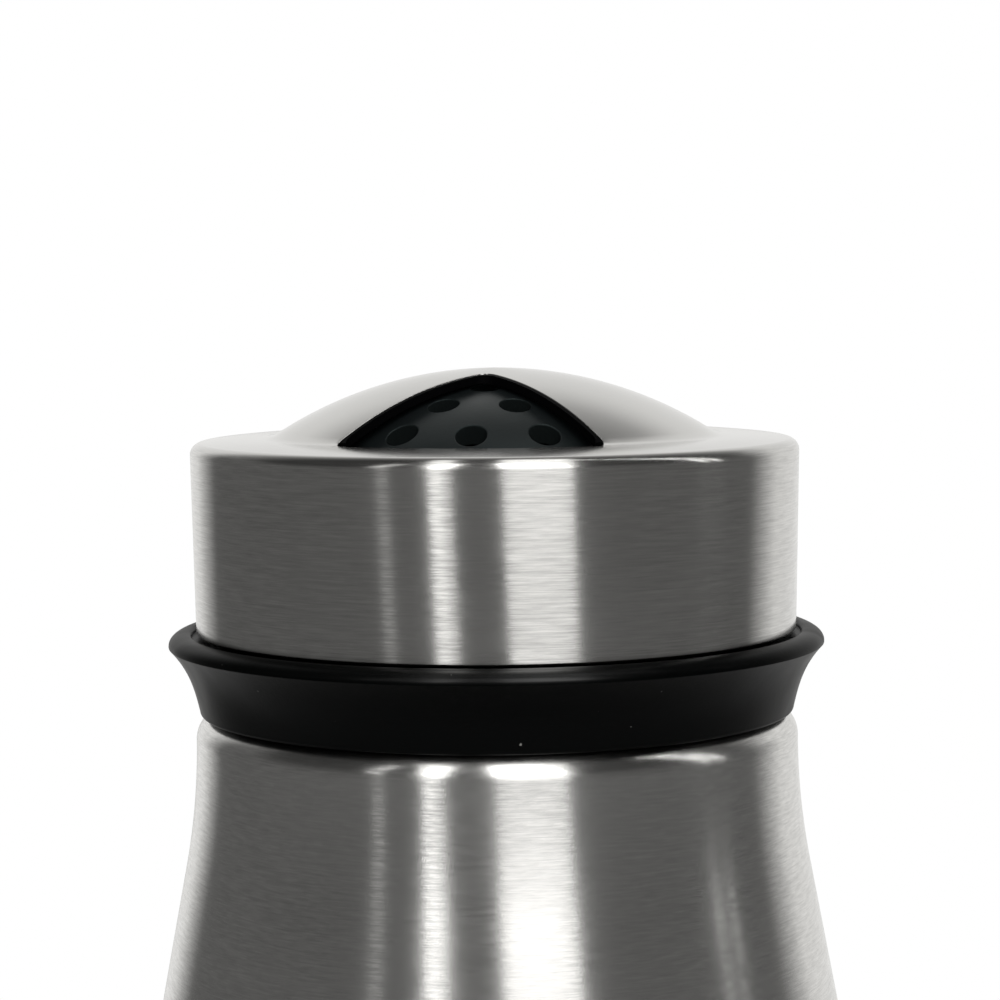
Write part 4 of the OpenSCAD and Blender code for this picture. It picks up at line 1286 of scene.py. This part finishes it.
class SHAKER_OT_cap(bpy.types.Operator):
    """Build the steel cap with its window, and finish the carrier inside it"""
    bl_idname = "shaker.cap"
    bl_label = "Cap"

    def execute(self, context):
        cap, finishes = context.scene.shaker_cap, context.scene.shaker_finishes
        top, low, reach = head("cap_shell"), foot("cap_shell"), outer("cap_shell")
        shoulder = top - cap.dome_rise
        bend_z = shoulder - cap.corner
        lower = reach - cap.taper
        dome = Dome(cap.dome_foot, cap.blend, top, shoulder)
        bend_r = reach - cap.corner
        crown_foot = math.sqrt(dome.radius ** 2 - (shoulder + cap.crown - dome.centre) ** 2)
        crowned = Dome(crown_foot, cap.blend, top, shoulder + cap.crown)

        def surface(r):
            out = np.clip((np.asarray(r) - crown_foot) / (bend_r - crown_foot), 0, 1)
            return crowned.height(r) - cap.crown * out ** 2

        window = quarter_loop(cap.window_margin, cap.window, cap.window_corner,
                              cap.window_apex, -90)
        plate = pierced_plate(surface, lambda r: dome.height(r, cap.steel), 0.0, cap.plate,
                              [window], cap.rim, inner_count=1)
        wall = [(r, float(surface(r))) for r in np.linspace(cap.plate, bend_r, 6)[:-1]]
        wall += arc(bend_r, bend_z, cap.corner, 90, 0, 14)
        wall += line((reach, bend_z), (lower, low), 1 * MM)[1:-1]
        wall += arc(lower - cap.hem, low + cap.hem, cap.hem, 0, -90, 4)
        wall += arc(lower - cap.steel + cap.hem, low + cap.hem, cap.hem, -90, -180, 4)
        wall += line((lower - cap.steel, low), (reach - cap.steel, bend_z), 1 * MM)[1:-1]
        wall += arc(bend_r, bend_z, cap.corner - cap.steel, 0, 90, 14)
        wall += line((bend_r, shoulder - cap.steel), (cap.plate, shoulder - cap.steel),
                     0.5 * MM)[1:]
        piece = solid_piece("cap_steel_shell", plate, turned(wall, closed=False))
        steel = brushed_steel("brushed_steel", finishes.cap_steel, roughness=0.17, anisotropy=0.75,
                              streaks=(4 * MM, 0.08 * MM), contrast=0.15, tilt=0.02,
                              speckle=0.0003 * MM, top=shoulder,
                              oval=(low, shoulder, -0.012, 0.014))
        fit(piece, "cap_shell", steel)
        finish_node("cap_carrier", moulded_plastic(
            "carrier_plastic", finishes.carrier, finishes.dust, roughness=0.5, level=0.02,
            grain=0.15 * MM, grain_depth=0.005 * MM, dust_amount=0.04))
        return {"FINISHED"}


class SHAKER_OT_pivot(bpy.types.Operator):
    """Build the pivot's washers, and finish its screw and the click spring"""
    bl_idname = "shaker.pivot"
    bl_label = "Pivot"

    def execute(self, context):
        rings, finishes = context.scene.shaker_rings, context.scene.shaker_finishes
        steel = brushed_steel("pivot_steel", finishes.pivot_steel, roughness=0.3, anisotropy=0.4,
                              streaks=(1.5 * MM, 0.05 * MM), contrast=0.1, tilt=0.02,
                              speckle=0.0003 * MM)
        bores = {"pivot_spring": ("spring_washer", rings.spring_bore),
                 "pivot_washer": ("flat_washer", rings.flat_bore)}
        for node, (name, bore) in bores.items():
            fit(ring(name, node, bore, rings.steel_round, FEW_SEGMENTS), node, steel)
        finish_node("pivot_screw", steel)
        finish_node("click_spring", steel)
        return {"FINISHED"}


OPERATORS = (SHAKER_OT_stage, SHAKER_OT_jar, SHAKER_OT_sleeve, SHAKER_OT_soft_rings,
             SHAKER_OT_collar, SHAKER_OT_sifter, SHAKER_OT_cap, SHAKER_OT_pivot)
GROUPS = {"shaker_body": BodySizes, "shaker_thread": ThreadSizes, "shaker_collar": CollarSizes,
          "shaker_sifter": SifterSizes, "shaker_cap": CapSizes, "shaker_rings": RingSizes,
          "shaker_finishes": Finishes, "shaker_studio": StudioSettings}


class SHAKER_PT_workshop(bpy.types.Panel):
    """Lists the shaker's build steps, sizes and colours"""
    bl_idname = "SHAKER_PT_workshop"
    bl_label = "Spice Shaker"
    bl_space_type = "VIEW_3D"
    bl_region_type = "UI"
    bl_category = "Shaker"

    def draw(self, context):
        for operator in OPERATORS:
            self.layout.operator(operator.bl_idname)
        for name, group in GROUPS.items():
            column = self.layout.column(heading=group.__doc__)
            for field in group.__annotations__:
                column.prop(getattr(context.scene, name), field)


def register():
    for group in GROUPS.values():
        bpy.utils.register_class(group)
    for cls in (*OPERATORS, SHAKER_PT_workshop):
        bpy.utils.register_class(cls)
    for name, group in GROUPS.items():
        setattr(bpy.types.Scene, name, PointerProperty(type=group))


def unregister():
    for name in GROUPS:
        delattr(bpy.types.Scene, name)
    for cls in (SHAKER_PT_workshop, *reversed(OPERATORS), *GROUPS.values()):
        bpy.utils.unregister_class(cls)


def main():
    """Builds the whole scene and writes the two boxes, of the CAD and of the dressed shaker."""
    register()
    bpy.ops.shaker.stage()
    bpy.ops.shaker.jar()
    bpy.ops.shaker.sleeve()
    bpy.ops.shaker.soft_rings()
    bpy.ops.shaker.collar()
    bpy.ops.shaker.sifter()
    bpy.ops.shaker.cap()
    bpy.ops.shaker.pivot()


if __name__ == "__main__":
    main()
